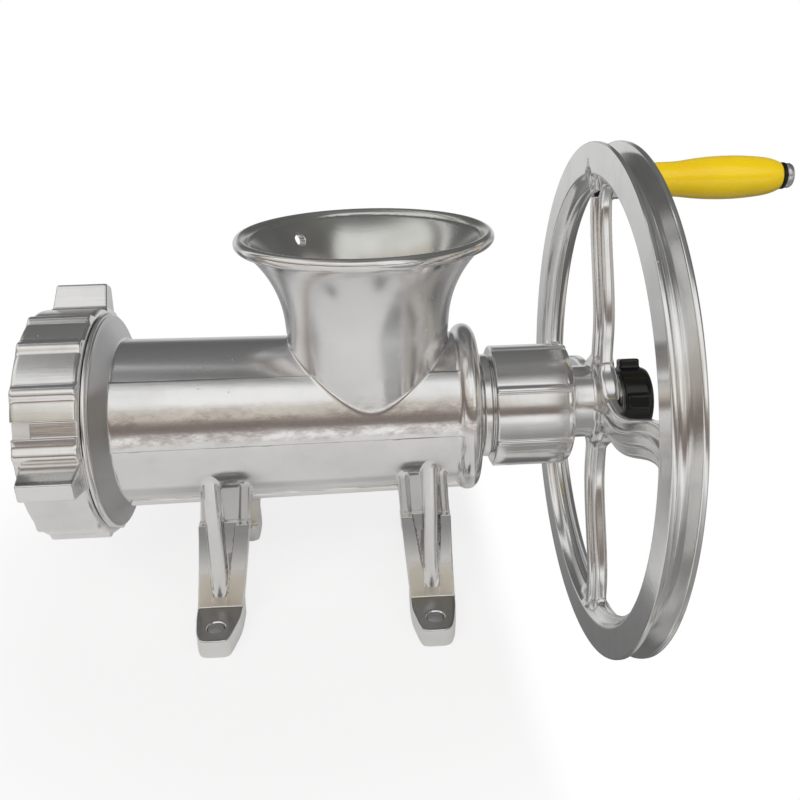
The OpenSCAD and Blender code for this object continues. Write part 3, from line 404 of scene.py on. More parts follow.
class Shade:
    """A socket in a node tree; operators on it add Math nodes."""

    def __init__(self, tree, socket=None):
        self.tree, self.socket = tree, socket

    def node(self, kind, settings=None, output=0, **inputs):
        made = self.tree.nodes.new(kind)
        for key, value in (settings or {}).items():
            if key == "stops":
                stops = made.color_ramp.elements
                while len(stops) < len(value):
                    stops.new(0.5)
                for stop, (place, colour) in zip(stops, value):
                    stop.position = place
                    stop.color = (*colour, 1)
            else:
                setattr(made, key, value)
        for key, value in inputs.items():
            numbered = key[0] == "i" and key[1:].isdigit()
            self.feed(made.inputs[int(key[1:]) if numbered else key.replace("_", " ")], value)
        return Shade(self.tree, made.outputs[output])

    def feed(self, place, value):
        if isinstance(value, Shade):
            self.tree.links.new(value.socket, place)
        else:
            place.default_value = value

    def maths(self, operation, a, b=0.0):
        return self.node("ShaderNodeMath", {"operation": operation}, i0=a, i1=b)

    def __add__(self, other):
        return self.maths("ADD", self, other)

    __radd__ = __add__

    def __sub__(self, other):
        return self.maths("SUBTRACT", self, other)

    def __rsub__(self, other):
        return self.maths("SUBTRACT", other, self)

    def __mul__(self, other):
        return self.maths("MULTIPLY", self, other)

    __rmul__ = __mul__

    def length(self, other):
        """Length of two parts at right angles."""
        return self.maths("SQRT", self * self + other * other)

    def above(self, low, high):
        """0 below low, 1 above high, smooth between; falling where low is the higher one."""
        return self.node("ShaderNodeMapRange", {"interpolation_type": "SMOOTHSTEP"},
                         Value=self, From_Min=low, From_Max=high)

    def noise(self, place, scale, detail=3.0, rough=0.5):
        return self.node("ShaderNodeTexNoise", Vector=place, Scale=scale, Detail=detail,
                         Roughness=rough)

    def stretched(self, place, scale):
        """Position with each axis scaled."""
        return self.node("ShaderNodeMapping", Vector=place, Scale=scale)

    def part_of(self, vector, axis):
        """One component of a vector."""
        return self.node("ShaderNodeSeparateXYZ", output=axis, Vector=vector)

    def size_of(self, value):
        """Value without its sign."""
        return self.maths("ABSOLUTE", value)

    def facing(self, axis):
        """One component of the surface's normal."""
        return self.part_of(self.node("ShaderNodeNewGeometry", output=1), axis)

    def bump(self, strength, distance, height):
        """Normal of a surface with a fine relief."""
        return self.node("ShaderNodeBump", Strength=strength, Distance=distance, Height=height)

    def tint(self, amount, first, second):
        """Colour between two others."""
        mixed = self.node("ShaderNodeMix", {"data_type": "RGBA"}, output=2)
        sockets = mixed.socket.node.inputs
        for place, value in ((0, amount), (6, first), (7, second)):
            plain = isinstance(value, tuple) and len(value) == 3
            self.feed(sockets[place], (*value, 1) if plain else value)
        return mixed


def finish_of(name):
    """New material, its shader node, a socket to build from and the position in metres."""
    material = bpy.data.materials.new(name)
    material.use_nodes = True
    shade = Shade(material.node_tree)
    place = shade.node("ShaderNodeTexCoord", output=3)
    return material, material.node_tree.nodes["Principled BSDF"], shade, place


def cast_aluminium(name, colour, rough, lines_along, lines_depth, marks=()):
    """Polished casting: clouds in the polish, small pits, polishing lines, and marks in places."""
    material, body, shade, place = finish_of(name)
    clouds = shade.noise(place, scale=34.0, detail=5.0, rough=0.62)
    blotch = shade.noise(place, scale=120.0, detail=4.0, rough=0.65)
    fine = shade.noise(place, scale=420.0, detail=3.0, rough=0.6)
    lines = shade.noise(shade.stretched(place, lines_along), scale=320.0, detail=3.0, rough=0.6)
    pits = shade.node("ShaderNodeTexVoronoi", Vector=place, Scale=190.0).above(0.12, 0.05)
    dull = pits * shade.noise(place, scale=14.0, detail=2.0).above(0.54, 0.64)
    worn = clouds.above(0.38, 0.72) * 0.55 + blotch.above(0.5, 0.8) * 0.25 + dull * 0.4
    tone = shade.tint(worn, colour, tuple(c * 0.86 for c in colour))
    roughness = rough + 0.07 * clouds + 0.05 * blotch + 0.05 * lines + 0.18 * dull
    for mark in marks:
        amount, mark_tone, dulling = mark(shade, place)
        tone = shade.tint(amount, tone, mark_tone)
        roughness = roughness + amount * dulling
    shade.feed(body.inputs["Base Color"], tone)
    body.inputs["Metallic"].default_value = 1.0
    shade.feed(body.inputs["Roughness"], roughness)
    height = 0.45 * clouds + 0.2 * blotch + lines_depth * lines + 0.1 * fine - 0.4 * dull
    shade.feed(body.inputs["Normal"], shade.bump(0.2, 0.0006, height))
    return material


# Marks on the housing: each gives how strong it is at a place, its colour and how much it dulls.
# The limits of their zones are metres, degrees, or parts of a normal.
DEGREES = 180 / math.pi


def spot_at(shade, place):
    """Station, distance to either side and height of a place, in metres."""
    return (shade.part_of(place, 0), shade.size_of(shade.part_of(place, 1)),
            shade.part_of(place, 2))


def barrel_mottle_and_reflection(shade, place):
    """Brownish mottling low on the raised band, partly real mottling and partly a painted dark
    reflection.
    """
    _, side, high = spot_at(shade, place)
    up = high - AXIS_H * MM
    angle = shade.maths("ARCTAN2", up, side) * DEGREES
    zone = angle.above(1.0, 6.0) * angle.above(34.0, 20.0) * up.length(side).above(0.049, 0.0475)
    long_place = shade.stretched(place, (0.45, 1.0, 1.0))
    mottle = shade.noise(long_place, scale=160.0, detail=6.0, rough=0.7).above(0.4, 0.66)
    return zone * mottle * 0.6, (0.4, 0.33, 0.3), 0.15


def leg_face(shade, place):
    """How much a place lies on a leg's polished face beside the rib, and its height."""
    along, side, high = spot_at(shade, place)
    out = shade.size_of(shade.size_of(along) - LEG_X * MM)
    turned_out = shade.size_of(shade.facing(1))
    zone = high.above(0.0105, 0.0113) * high.above(0.08, 0.076) * side.above(0.0305, 0.032)
    below_rib = high.above(0.0165, 0.0145)
    beside = shade.maths("MAXIMUM", out.above(0.0038, 0.0048), below_rib)
    return zone * beside * turned_out.above(0.6, 0.85), high


def leg_painted_dark_reflection(shade, place):
    """Painted dark reflection: the face is painted darker up to the ledge."""
    zone, high = leg_face(shade, place)
    amount = high.above(0.02, 0.052) * 0.75 - high.above(0.055, 0.0556) * 0.4
    return zone * amount, (0.2, 0.2, 0.205), 0.1


def leg_painted_pale_reflection(shade, place):
    """Painted pale reflection: the face is painted pale towards the foot, and made satin there."""
    zone, high = leg_face(shade, place)
    return zone * high.above(0.036, 0.018), (0.9, 0.86, 0.76), 0.35


def foot_top_painted_dark(shade, place):
    """The tops of the feet are left dull and painted dark, a painted dark reflection."""
    _, side, high = spot_at(shade, place)
    level = shade.facing(2).above(0.75, 0.9)
    zone = high.above(0.0112, 0.0108) * high.above(0.0095, 0.0099) * side.above(0.046, 0.048)
    return level * zone * 0.85, (0.2, 0.2, 0.2), 0.2


def cone_dull(shade, place):
    """The cone behind the flange is only rough turned."""
    along, side, high = spot_at(shade, place)
    reach = (high - AXIS_H * MM).length(side)
    zone = along.above(-0.1102, -0.1098) * along.above(-0.1036, -0.104)
    return zone * reach.above(0.0445, 0.0455) * 0.85, (0.42, 0.42, 0.425), 0.22


def hopper_deep(shade, place):
    """How far inside the hopper's outer side a place lies, and its height above the axis."""
    along, side, high = spot_at(shade, place)
    off, high = along - HOPPER_X * MM, high - AXIS_H * MM
    steps = [(h / 100, (np.interp(h, side_h, side_r) / 100,) * 3)
             for h in (0, FLARE_H, 60, 70, 80, 85, 90, RIM_H)]
    outside = shade.node("ShaderNodeValToRGB", {"stops": steps}, Fac=high * 10.0)
    return outside * 0.1 - off.length(side), high


def hopper_inside(shade, place):
    """Inside the hopper the polish is dull and greyish."""
    deep, high = hopper_deep(shade, place)
    zone = deep.above(0.0018, 0.0032) * high.above(0.03, 0.045)
    return zone * 0.85, (0.68, 0.68, 0.64), 0.1


def hopper_outside_satin(shade, place):
    """Outside, the hopper is a little less bright than the barrel."""
    deep, high = hopper_deep(shade, place)
    zone = deep.above(0.0018, 0.001) * high.above(0.03, 0.036) * high.above(0.092, 0.088)
    return zone * 0.8, (0.85, 0.845, 0.85), 0.11


housing_polish = cast_aluminium(
    "housing_casting", colour=(0.86, 0.855, 0.845), rough=0.06, lines_along=(0.1, 1.0, 1.0),
    lines_depth=0.25, marks=(barrel_mottle_and_reflection, leg_painted_dark_reflection, leg_painted_pale_reflection, foot_top_painted_dark, cone_dull, hopper_inside,
                             hopper_outside_satin))
housing_piece.data.materials.append(housing_polish)
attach(housing_piece, "frame")
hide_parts("housing")


# Bush, thrust washer and plate key: a turned bronze bush with a flange in the neck, a moulded
# washer behind the feed screw, and a short steel pin let into the bell, all mostly hidden. The
# shaft, the stud, their pins and keys and the knob's washer are of the same bright steel.
def turned(name, colour, rough, grain):
    """Turned metal: fine rings across the lathe axis and slight stains."""
    material, body, shade, place = finish_of(name)
    rings = shade.noise(shade.stretched(place, grain), scale=900.0, detail=2.0, rough=0.6)
    stain = shade.noise(place, scale=60.0, detail=3.0, rough=0.6)
    tone = shade.tint(stain.above(0.4, 0.75) * 0.5, colour, tuple(c * 0.78 for c in colour))
    shade.feed(body.inputs["Base Color"], tone)
    body.inputs["Metallic"].default_value = 1.0
    shade.feed(body.inputs["Roughness"], rough + 0.1 * rings + 0.06 * stain)
    shade.feed(body.inputs["Normal"], shade.bump(0.12, 0.0003, rings))
    return material


def moulded(name, colour, rough, shine, scuffs):
    """Moulded plastic: a fine grain, with paler scuffs."""
    material, body, shade, place = finish_of(name)
    grain = shade.noise(place, scale=650.0, detail=3.0, rough=0.6)
    scuff = shade.noise(place, scale=70.0, detail=4.0, rough=0.65).above(0.58, 0.8)
    pale = tuple(min(1, c * 1.25 + 0.02) for c in colour)
    shade.feed(body.inputs["Base Color"], shade.tint(scuff * scuffs, colour, pale))
    shade.feed(body.inputs["Roughness"], rough + 0.16 * scuff + 0.05 * grain)
    body.inputs["Specular IOR Level"].default_value = shine
    shade.feed(body.inputs["Normal"], shade.bump(0.1, 0.0003, grain))
    return material


def dress(material, *names):
    """Gives CAD nodes that keep their shape a finish."""
    for name in names:
        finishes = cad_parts[name].data.materials
        finishes.clear()
        finishes.append(material)


ALONG_AXIS = (6.0, 0.4, 0.4)
bright_steel = turned("bright_steel", colour=(0.74, 0.74, 0.745), rough=0.2, grain=ALONG_AXIS)
dress(turned("bearing_bronze", colour=(0.62, 0.45, 0.22), rough=0.28, grain=ALONG_AXIS),
      "rear_bush")
dress(moulded("white_moulding", colour=(0.86, 0.86, 0.83), rough=0.45, shine=0.5, scuffs=0.2),
      "thrust_washer")
dress(bright_steel, "plate_key", "drive_shaft", "shaft_pin", "wheel_key", "knife_stud",
      "hub_washer")


# Lock ring and rear nut: cast aluminium rings on the neck. The nut has low round ribs for the hand,
# rounded edges and a plain bore in its end wall.
LOCK_FRONT, LOCK_REAR = ends("lock_ring", 0)
NUT_FRONT, NUT_REAR = ends("rear_nut", 0)
LOCK_R, LOCK_BORE_R = 28.5, 26.05
NUT_R, NUT_RIBS, NUT_RIB_TURN, NUT_RIB_MID, NUT_RIB_R = 33, 7, 35, 32.0, 2.1
NUT_RIB_CENTRE, NUT_RIB_HALF = 114.8, 20.3
DIAGONAL = 0.7071


def chamfer(x, r, start, radius):
    """Edge turned off at 45 degrees, from a station on a radius."""
    return (r - radius + (x - start)) * DIAGONAL


def lock_ring(x, y, z):
    r, _ = from_axis(y, z)
    body = disc(x, r, start=LOCK_FRONT, end=LOCK_REAR, radius=LOCK_R, edge=1.3)
    return soft_max(body, LOCK_BORE_R - r, fillet=0.5)


def rear_nut(x, y, z):
    r, angle = from_axis(y, z)
    body = disc(x, r, start=NUT_FRONT, end=NUT_REAR, radius=NUT_R, edge=1.2)
    body = soft_max(body, chamfer(x, r, start=134.9, radius=NUT_R), fillet=2.4)
    pitch = 360 / NUT_RIBS
    off = np.radians((angle - NUT_RIB_TURN + pitch / 2) % pitch - pitch / 2)
    ribs = np.hypot(r * np.sin(off), r * np.cos(off) - NUT_RIB_MID) - NUT_RIB_R
    ribs = soft_max(ribs, np.abs(x - NUT_RIB_CENTRE) - NUT_RIB_HALF, fillet=1.0)
    body = soft_min(body, ribs, fillet=0.6)
    inside = np.minimum(disc(x, r, start=90, end=123, radius=26.3, edge=0.5),
                        disc(x, r, start=120, end=140, radius=15, edge=0.3))
    return soft_max(body, -inside, fillet=0.8)


lock_piece = piece_of("lock_ring_cast", skin(
    lock_ring, low=(LOCK_FRONT, 26, 0), high=(LOCK_REAR, LOCK_R, 360), step=(0.5, 0.5, 1.2),
    grid=round_axis))
nut_piece = piece_of("rear_nut_cast", skin(
    rear_nut, low=(NUT_FRONT, 15, 0), high=(NUT_REAR, 34.3, 360), step=(0.7, 0.55, 0.9),
    grid=round_axis))
polish = cast_aluminium("polished_casting", colour=(0.88, 0.875, 0.865), rough=0.05,
                        lines_along=(0.1, 1.0, 1.0), lines_depth=0.25)
for piece, node in ((lock_piece, "lock_ring"), (nut_piece, "rear_nut")):
    piece.data.materials.append(polish)
    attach(piece, "frame")
    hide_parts(node)


# Feed screw: a tapered flight round a core, cast in aluminium and left satin; the stud and the
# shaft are pinned into its ends.
SCREW_FRONT, SCREW_REAR = ends("auger", 0)
FLIGHT_FRONT, FLIGHT_REAR, FLIGHT_PITCH, FLIGHT_R = -119.3, 56, 42.0, 35.6
FLIGHT_HALF, FLIGHT_TAPER, CORE_R = 5.5, 2.5, 16


def feed_screw(x, y, z):
    r, _ = from_axis(y, z)
    turn = np.arctan2(-y, z - AXIS_H) / (2 * math.pi)
    off = x - FLIGHT_FRONT + FLIGHT_PITCH * turn - FLIGHT_HALF + FLIGHT_PITCH / 2
    off = off % FLIGHT_PITCH - FLIGHT_PITCH / 2
    thinning = FLIGHT_TAPER * np.clip((r - CORE_R) / (FLIGHT_R - CORE_R), 0, 1)
    flight = (np.abs(off) - FLIGHT_HALF + thinning) * 0.85
    flight = soft_max(flight, r - FLIGHT_R, fillet=1.4)
    flight = soft_max(flight, slab(x, start=FLIGHT_FRONT, end=FLIGHT_REAR), fillet=2.0)
    core = soft_min(disc(x, r, start=SCREW_FRONT, end=60, radius=CORE_R, edge=1),
                    disc(x, r, start=56.8, end=SCREW_REAR, radius=26, edge=1.2), fillet=3)
    solid = soft_max(soft_min(flight, core, fillet=5),
                     slab(x, start=SCREW_FRONT, end=SCREW_REAR), fillet=0.5)
    sockets = np.minimum(disc(x, r, start=-130, end=-94.3, radius=7.05, edge=0.3),
                         disc(x, r, start=34.8, end=80, radius=9.05, edge=0.3))
    return soft_max(solid, -sockets, fillet=0.4)


screw_piece = piece_of("feed_screw", skin(
    feed_screw, low=(SCREW_FRONT, 7, 0), high=(SCREW_REAR, FLIGHT_R, 360), step=(1.3, 1.1, 2.6),
    grid=round_axis))
satin = cast_aluminium("satin_casting", colour=(0.74, 0.735, 0.72), rough=0.2,
                       lines_along=(1.0, 0.3, 0.3), lines_depth=0.3)
screw_piece.data.materials.append(satin)
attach(screw_piece, "crank")
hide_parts("auger")


# Knife and cutting plate: hardened steel, ground flat on the faces that meet, held by the ring nut.
# The knife sits on the stud's square and turns; the plate stands still.
ground_steel = turned("ground_steel", colour=(0.5, 0.5, 0.51), rough=0.26, grain=(0.4, 7.0, 0.8))
dress(ground_steel, "knife", "cutting_plate")


# Ring nut: a heavy aluminium ring screwed on the bell, with lugs to strike, round ribs for the hand
# and wrench notches in its front edge. It is less bright than the barrel, with polishing lines
# along it, and the floors of its notches are rough and painted nearly white, a painted reflection.
RING_FRONT, RING_REAR = ends("ring_nut", 0)
RING_R, RING_THIRD, RING_TURN, RING_THREAD = 61.5, 120, 3.5, 0.7
LUG_R, LUG_HALF, LUG_DRAFT, LUG_FRONT, LUG_REAR, LUG_ROOT = 75.5, 7.5, 3.0, -143.0, -114.4, 56.8
RIB_PLACES, RIB_MID, RIB_R = (11.0, 40.0, -55.5, -34.5), 58.9, 4.5
RIB_CENTRE, RIB_HALF, THREAD_START, THREAD_RUN = -129.9, 15.8, -134, 3
NOTCH_PLACE, NOTCH_HALF, NOTCH_REAR, NOTCH_FLOOR, NOTCH_FLAT = 23.0, 4, -136.8, 57.6, 60.3
LIP_R = 44.5


def ring_nut(x, y, z):
    r, angle = from_axis(y, z)
    off = np.radians((angle + RING_TURN + RING_THIRD / 2) % RING_THIRD - RING_THIRD / 2)
    body = disc(x, r, start=RING_FRONT, end=RING_REAR, radius=RING_R, edge=0.6)
    body = soft_max(body, chamfer(-x, r, start=145.1, radius=RING_R), fillet=1.2)
    body = soft_max(body, chamfer(x, r, start=-115.0, radius=RING_R), fillet=0.8)
    tangent, radial = r * np.sin(off), r * np.cos(off)
    lug_half = LUG_HALF - LUG_DRAFT * np.clip((radial - RING_R) / (LUG_R - RING_R), -0.4, 1)
    lug = soft_max((np.abs(tangent) - lug_half) * 0.97, radial - LUG_R, fillet=1.0)
    rear = x - LUG_REAR - 0.05 * (LUG_R - radial)
    front = (LUG_FRONT - x + 0.1 * (radial - RING_R)) * 0.99
    lug = soft_max(lug, np.maximum(rear, front), fillet=1.0)
    body = soft_min(body, np.maximum(lug, LUG_ROOT - radial), fillet=1.6)
    for place in RIB_PLACES:
        turn = off - math.radians(place)
        rib = np.hypot(r * np.sin(turn), r * np.cos(turn) - RIB_MID) - RIB_R
        rib = soft_max(rib, np.abs(x - RIB_CENTRE) - RIB_HALF, fillet=1.2)
        body = soft_min(body, rib, fillet=1.2)
    turn = off - math.radians(NOTCH_PLACE)
    beside = np.abs(r * np.sin(turn)) - NOTCH_HALF
    flat = np.maximum(beside, NOTCH_FLAT - r * np.cos(turn))
    notch = np.maximum(np.maximum(beside, x - NOTCH_REAR), NOTCH_FLOOR - r * np.cos(turn))
    body = soft_max(body, -np.minimum(notch, flat), fillet=0.7)
    run_out = np.clip((x - THREAD_START) / THREAD_RUN, 0, 1)
    thread = RING_THREAD * np.cos(2 * math.pi * (x / PITCH - angle / 360)) * run_out
    bore = disc(x, r + thread, start=-141.5, end=-100, radius=56.0, edge=0.4) * 0.8
    lip = np.minimum(disc(x, r, start=-160, end=-130, radius=LIP_R, edge=0.3),
                     chamfer(x, r, start=-144.9, radius=LIP_R))
    return soft_max(body, -np.minimum(bore, lip), fillet=0.7)


def notch_floor_painted_bright(shade, place):
    """The floor of a wrench notch, rough and painted nearly white as a painted reflection."""
    along, side, high = spot_at(shade, place)
    reach = (high - AXIS_H * MM).length(side)
    zone = reach.above(0.0598, 0.0592) * reach.above(0.0571, 0.0574)
    return zone * along.above(-0.1363, -0.1369), (0.97, 0.97, 0.965), 0.45


ring_piece = piece_of("ring_nut_cast", skin(
    ring_nut, low=(RING_FRONT, 43, 0), high=(RING_REAR, 76, 360), step=(0.75, 0.7, 0.62),
    grid=round_axis))
brushed = cast_aluminium("brushed_casting", colour=(0.88, 0.875, 0.865), rough=0.1,
                         lines_along=(0.06, 1.0, 1.0), lines_depth=0.6, marks=(notch_floor_painted_bright,))
ring_piece.data.materials.append(brushed)
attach(ring_piece, "ring")
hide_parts("ring_nut")


# Wheel: one casting of a rim with a belt groove, curved spokes that flow into a long hub, and a
# boss for the handle. The rim's faces and groove are turned, the spokes are only polished.
HUB_FRONT, BOSS_END = ends("wheel", 0)
WHEEL_R, RIM_FRONT, RIM_HALF = 140, 148.5, 7.85
WHEEL_MID = RIM_FRONT + RIM_HALF
GROOVE_R, GROOVE_HALF, GROOVE_RISE, GROOVE_RUN, GROOVE_SLANT = 129.5, 1.6, 10.5, 3.65, 11.116
INNER_R = 118
# The rim's inner side slopes in two steps: radius at a half width, rise, and cosine of its slant.
INNER_SLOPES = ((121.6, 4.25, 0.556, 0.874), (INNER_R, 1.75, 1.44, 0.57))
COLLAR_R, COLLAR_HALF, COLLAR_ROUND = 21.5, 2.0, 3.6
SPOKE_START, SPOKE_RUN, SPOKE_SWAY, SPOKE_HALF, SPOKE_HALF_T = 38, 74, 21, 9.6, 3.2
SPOKE_RIB_HALF, SPOKE_RIB_HALF_T, SPOKE_ROOT, SPOKE_END_R = 2.9, 5.4, 14, 124
HANDLE_A, HANDLE_R = math.radians(10), 119.5
HANDLE_Y, HANDLE_Z = HANDLE_R * math.sin(HANDLE_A), AXIS_H + HANDLE_R * math.cos(HANDLE_A)
POCKET_R, POCKET_FLOOR, BOSS_R, SPINDLE_HOLE_R = 7.8, 156.9, 9.5, 4.05
WEDGE_HALF, WEDGE_TAPER, WEDGE_SLANT, WEDGE_FLOOR = 5.5, 0.45, 0.91, 153
KEYWAY_HALF, KEYWAY_R, KEYWAY_END = 3.05, 14.05, 164


def bar(u, v, half_u, half_v, edge):
    """Section of a bar with rounded corners."""
    return rounded(np.abs(u) - half_u, np.abs(v) - half_v, edge)


def spoke(up, near, deep, r):
    """One spoke along `up`: a flat S-shaped bar with a rib on each face, wider at its ends."""
    t = np.clip((up - SPOKE_START) / SPOKE_RUN, 0, 1)
    middle = -SPOKE_SWAY * t * t * (3 - 2 * t)
    across = (near - middle) / np.sqrt(1 + (SPOKE_SWAY * 6 * t * (1 - t) / SPOKE_RUN) ** 2)
    swell = 1 + 0.32 * np.clip((up - 104) / 14, 0, 1.2) ** 2
    swell = swell + 0.25 * np.clip((40 - up) / 22, 0, 1) ** 2
    one = soft_min(bar(across / swell, deep, half_u=SPOKE_HALF, half_v=SPOKE_HALF_T, edge=2.2),
                   bar(across, deep, half_u=SPOKE_RIB_HALF, half_v=SPOKE_RIB_HALF_T, edge=1.0),
                   fillet=1.2)
    return np.maximum(one, np.maximum(SPOKE_ROOT - up, r - SPOKE_END_R))


def wheel(x, y, z):
    r, _ = from_axis(y, z)
    deep = x - WHEEL_MID
    half = np.abs(deep)
    rim = soft_max(half - RIM_HALF, r - WHEEL_R, fillet=0.8)
    flank = (half - GROOVE_HALF) * GROOVE_RISE - (r - GROOVE_R) * GROOVE_RUN
    groove = soft_max(GROOVE_R - r, flank / GROOVE_SLANT, fillet=1.2)
    slopes = [(radius + (half - width) * slope - r) * slant
              for radius, width, slope, slant in INNER_SLOPES]
    lip = soft_max(soft_min(*slopes, fillet=0.8), INNER_R - r, fillet=1.0)
    rim = soft_max(soft_max(rim, -groove, fillet=0.7), lip, fillet=0.7)
    hub = soft_min(disc(x, r, start=HUB_FRONT, end=156.4, radius=20, edge=1.2),
                   disc(x, r, start=150, end=165, radius=17.5, edge=1.0), fillet=1.5)
    collar = np.hypot(np.maximum(half - COLLAR_HALF, 0), np.maximum(r - COLLAR_R, 0)) - COLLAR_ROUND
    hub = soft_min(hub, collar, fillet=2.5)
    up, near = z - AXIS_H, -y
    spokes = spoke(up, near, deep, r)
    for _ in range(3):
        up, near = near, -up
        spokes = soft_min(spokes, spoke(up, near, deep, r), fillet=5)
    solid = soft_min(soft_min(spokes, hub, fillet=3.5), rim, fillet=3.5)
    out = np.hypot(y - HANDLE_Y, z - HANDLE_Z)
    boss = disc(x, out, start=POCKET_FLOOR, end=BOSS_END, radius=BOSS_R, edge=0.8)
    solid = soft_min(solid, boss, fillet=1.2)
    up_in = (y - HANDLE_Y) * math.sin(HANDLE_A) + (z - HANDLE_Z) * math.cos(HANDLE_A)
    side_in = (y - HANDLE_Y) * math.cos(HANDLE_A) - (z - HANDLE_Z) * math.sin(HANDLE_A)
    wedge = (np.abs(side_in) - WEDGE_HALF + WEDGE_TAPER * up_in) * WEDGE_SLANT
    wedge = np.maximum(wedge, np.maximum(-up_in, x - WEDGE_FLOOR))
    pocket = np.maximum(out - POCKET_R, x - POCKET_FLOOR)
    inside = np.minimum(np.minimum(pocket, wedge), out - SPINDLE_HOLE_R)
    keyway = np.maximum(slab(z - AXIS_H, start=0, end=KEYWAY_R), x - KEYWAY_END)
    inside = np.minimum(inside, np.maximum(np.abs(y) - KEYWAY_HALF, keyway))
    inside = np.minimum(inside, disc(x, r, start=130, end=180, radius=11.05, edge=0.3))
    return soft_max(solid, -inside, fillet=0.6)


wheel_piece = piece_of("wheel_cast", skin(
    wheel, low=(HUB_FRONT, 10.5, 0), high=(165.6, WHEEL_R, 360), step=(0.7, 0.7, 0.5),
    grid=round_axis))
wheel_polish = cast_aluminium("wheel_casting", colour=(0.88, 0.878, 0.87), rough=0.07,
                              lines_along=(1.0, 0.5, 0.5), lines_depth=0.12)
wheel_piece.data.materials.append(wheel_polish)
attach(wheel_piece, "crank")
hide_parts("wheel")


# Spindle, nut and washers: a steel bolt holds the grip on the wheel's boss; its nut sits in a
# pocket inside the rim, and a blackened washer lies at each end of the grip.
SPINDLE_START, SPINDLE_END = ends("spindle", 0)
HEX_START, HEX_END = ends("spindle_nut", 0)
HEX_MID, HEX_HALF, HEX_HALF_FLATS, HEX_REACH = (HEX_START + HEX_END) / 2, 3.1, 6.5, 7.5
SPINDLE_LEN = SPINDLE_END - SPINDLE_START
SPINDLE_SIDE = [(0, 0.01), (0, 3.4), (0.6, 4), (15.8, 4), (15.9, 5), (104.4, 5), (104.5, 5.9),
                (105.1, 6.5), (107.4, 6.5), (108.4, 5.9), (SPINDLE_LEN, 4.6), (SPINDLE_LEN, 0.01)]


def lathe(name, profile, start, around=72):
    """Turned piece on the handle's axis from stations and radii in millimetres."""
    spots, faces = [], []
    for x, r in profile:
        for k in range(around):
            a = 2 * math.pi * k / around
            spots.append(((start + x) * MM, (HANDLE_Y + r * math.sin(a)) * MM,
                          (HANDLE_Z + r * math.cos(a)) * MM))
    for i, k in product(range(len(profile) - 1), range(around)):
        here, there, n = i * around, (i + 1) * around, (k + 1) % around
        faces.append((here + k, here + n, there + n, there + k))
    mesh = bpy.data.meshes.new(name)
    mesh.from_pydata(spots, [], faces)
    piece = object_of(name, mesh)
    mesh.set_sharp_from_angle(angle=math.radians(50))
    return piece


def spindle_nut(x, y, z):
    v, w = y - HANDLE_Y, z - HANDLE_Z
    sixths = [k * math.radians(60) for k in range(3)]
    flats = np.maximum.reduce([np.abs(v * math.cos(a) + w * math.sin(a)) for a in sixths])
    along = np.abs(x - HEX_MID)
    body = soft_max(flats - HEX_HALF_FLATS, along - HEX_HALF, fillet=0.5)
    body = soft_max(body, (np.hypot(v, w) - 6.7 + along - 2.6) * DIAGONAL, fillet=0.6)
    return np.maximum(body, SPINDLE_HOLE_R - np.hypot(v, w))


spindle_piece = lathe("spindle_bolt", SPINDLE_SIDE, start=SPINDLE_START)
hex_piece = piece_of("spindle_nut_hex", skin(
    spindle_nut, low=(HEX_START, HANDLE_Y - HEX_REACH, HANDLE_Z - HEX_REACH),
    high=(HEX_END, HANDLE_Y + HEX_REACH, HANDLE_Z + HEX_REACH), step=(0.35, 0.35, 0.35)))
for piece, node in ((spindle_piece, "spindle"), (hex_piece, "spindle_nut")):
    piece.data.materials.append(bright_steel)
    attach(piece, "crank")
    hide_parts(node)
dress(turned("blackened_washer", colour=(0.05, 0.05, 0.052), rough=0.4, grain=(3.0, 1.0, 1.0)),
      "inner_washer", "outer_washer")


# Grip: a turned handle in thick glossy yellow lacquer, slim at the wheel, full towards its free
# end, and free to spin on the spindle.
GRIP_START, GRIP_END = ends("grip", 0)
GRIP_LEN, GRIP_BORE_R, GRIP_EDGE = GRIP_END - GRIP_START, 5.06, 0.9
GRIP_R, GRIP_TAPER, GRIP_SWELL = 9.1, 2.2, 3.8
share = np.linspace(0, 1, 401)
swell = np.interp(share, [0, 0.2, 0.33, 0.38, 0.44, 0.53, 0.62, 0.7, 0.76, 0.85, 0.91, 0.96, 1],
                  [0, 0.09, 0.21, 0.38, 0.6, 0.83, 0.96, 1, 0.97, 0.85, 0.7, 0.42, 0])
weights = np.hanning(41) / np.hanning(41).sum()
smooth = np.pad(GRIP_R - GRIP_TAPER * share + GRIP_SWELL * swell, 20, mode="reflect",
                reflect_type="odd")
smooth = np.convolve(smooth, weights, "valid")
grip_side = [(0.02, GRIP_BORE_R)]
for t, r in zip(share[::4], smooth[::4]):
    near_end = max(0, 1 - min(t, 1 - t) * GRIP_LEN / GRIP_EDGE)
    grip_side.append((GRIP_LEN * t, r - 0.5 * near_end ** 2))
grip_side.append((GRIP_LEN - 0.02, GRIP_BORE_R))
grip_piece = lathe("turned_grip", grip_side, start=GRIP_START, around=80)
lacquer, body, shade, place = finish_of("yellow_lacquer")
patch = shade.noise(place, scale=30.0, detail=3.0, rough=0.6)
peel = shade.noise(place, scale=300.0, detail=2.0, rough=0.5)
yellow = shade.tint(patch.above(0.3, 0.75), (0.9, 0.64, 0.0), (0.84, 0.56, 0.0))
shade.feed(body.inputs["Base Color"], yellow)
shade.feed(body.inputs["Roughness"], 0.2 + 0.12 * patch)
body.inputs["Coat Weight"].default_value = 0.35
body.inputs["Coat Roughness"].default_value = 0.1
shade.feed(body.inputs["Normal"], shade.bump(0.08, 0.0004, peel + 2.0 * patch))
grip_piece.data.materials.append(lacquer)
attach(grip_piece, "grip")
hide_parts("grip")


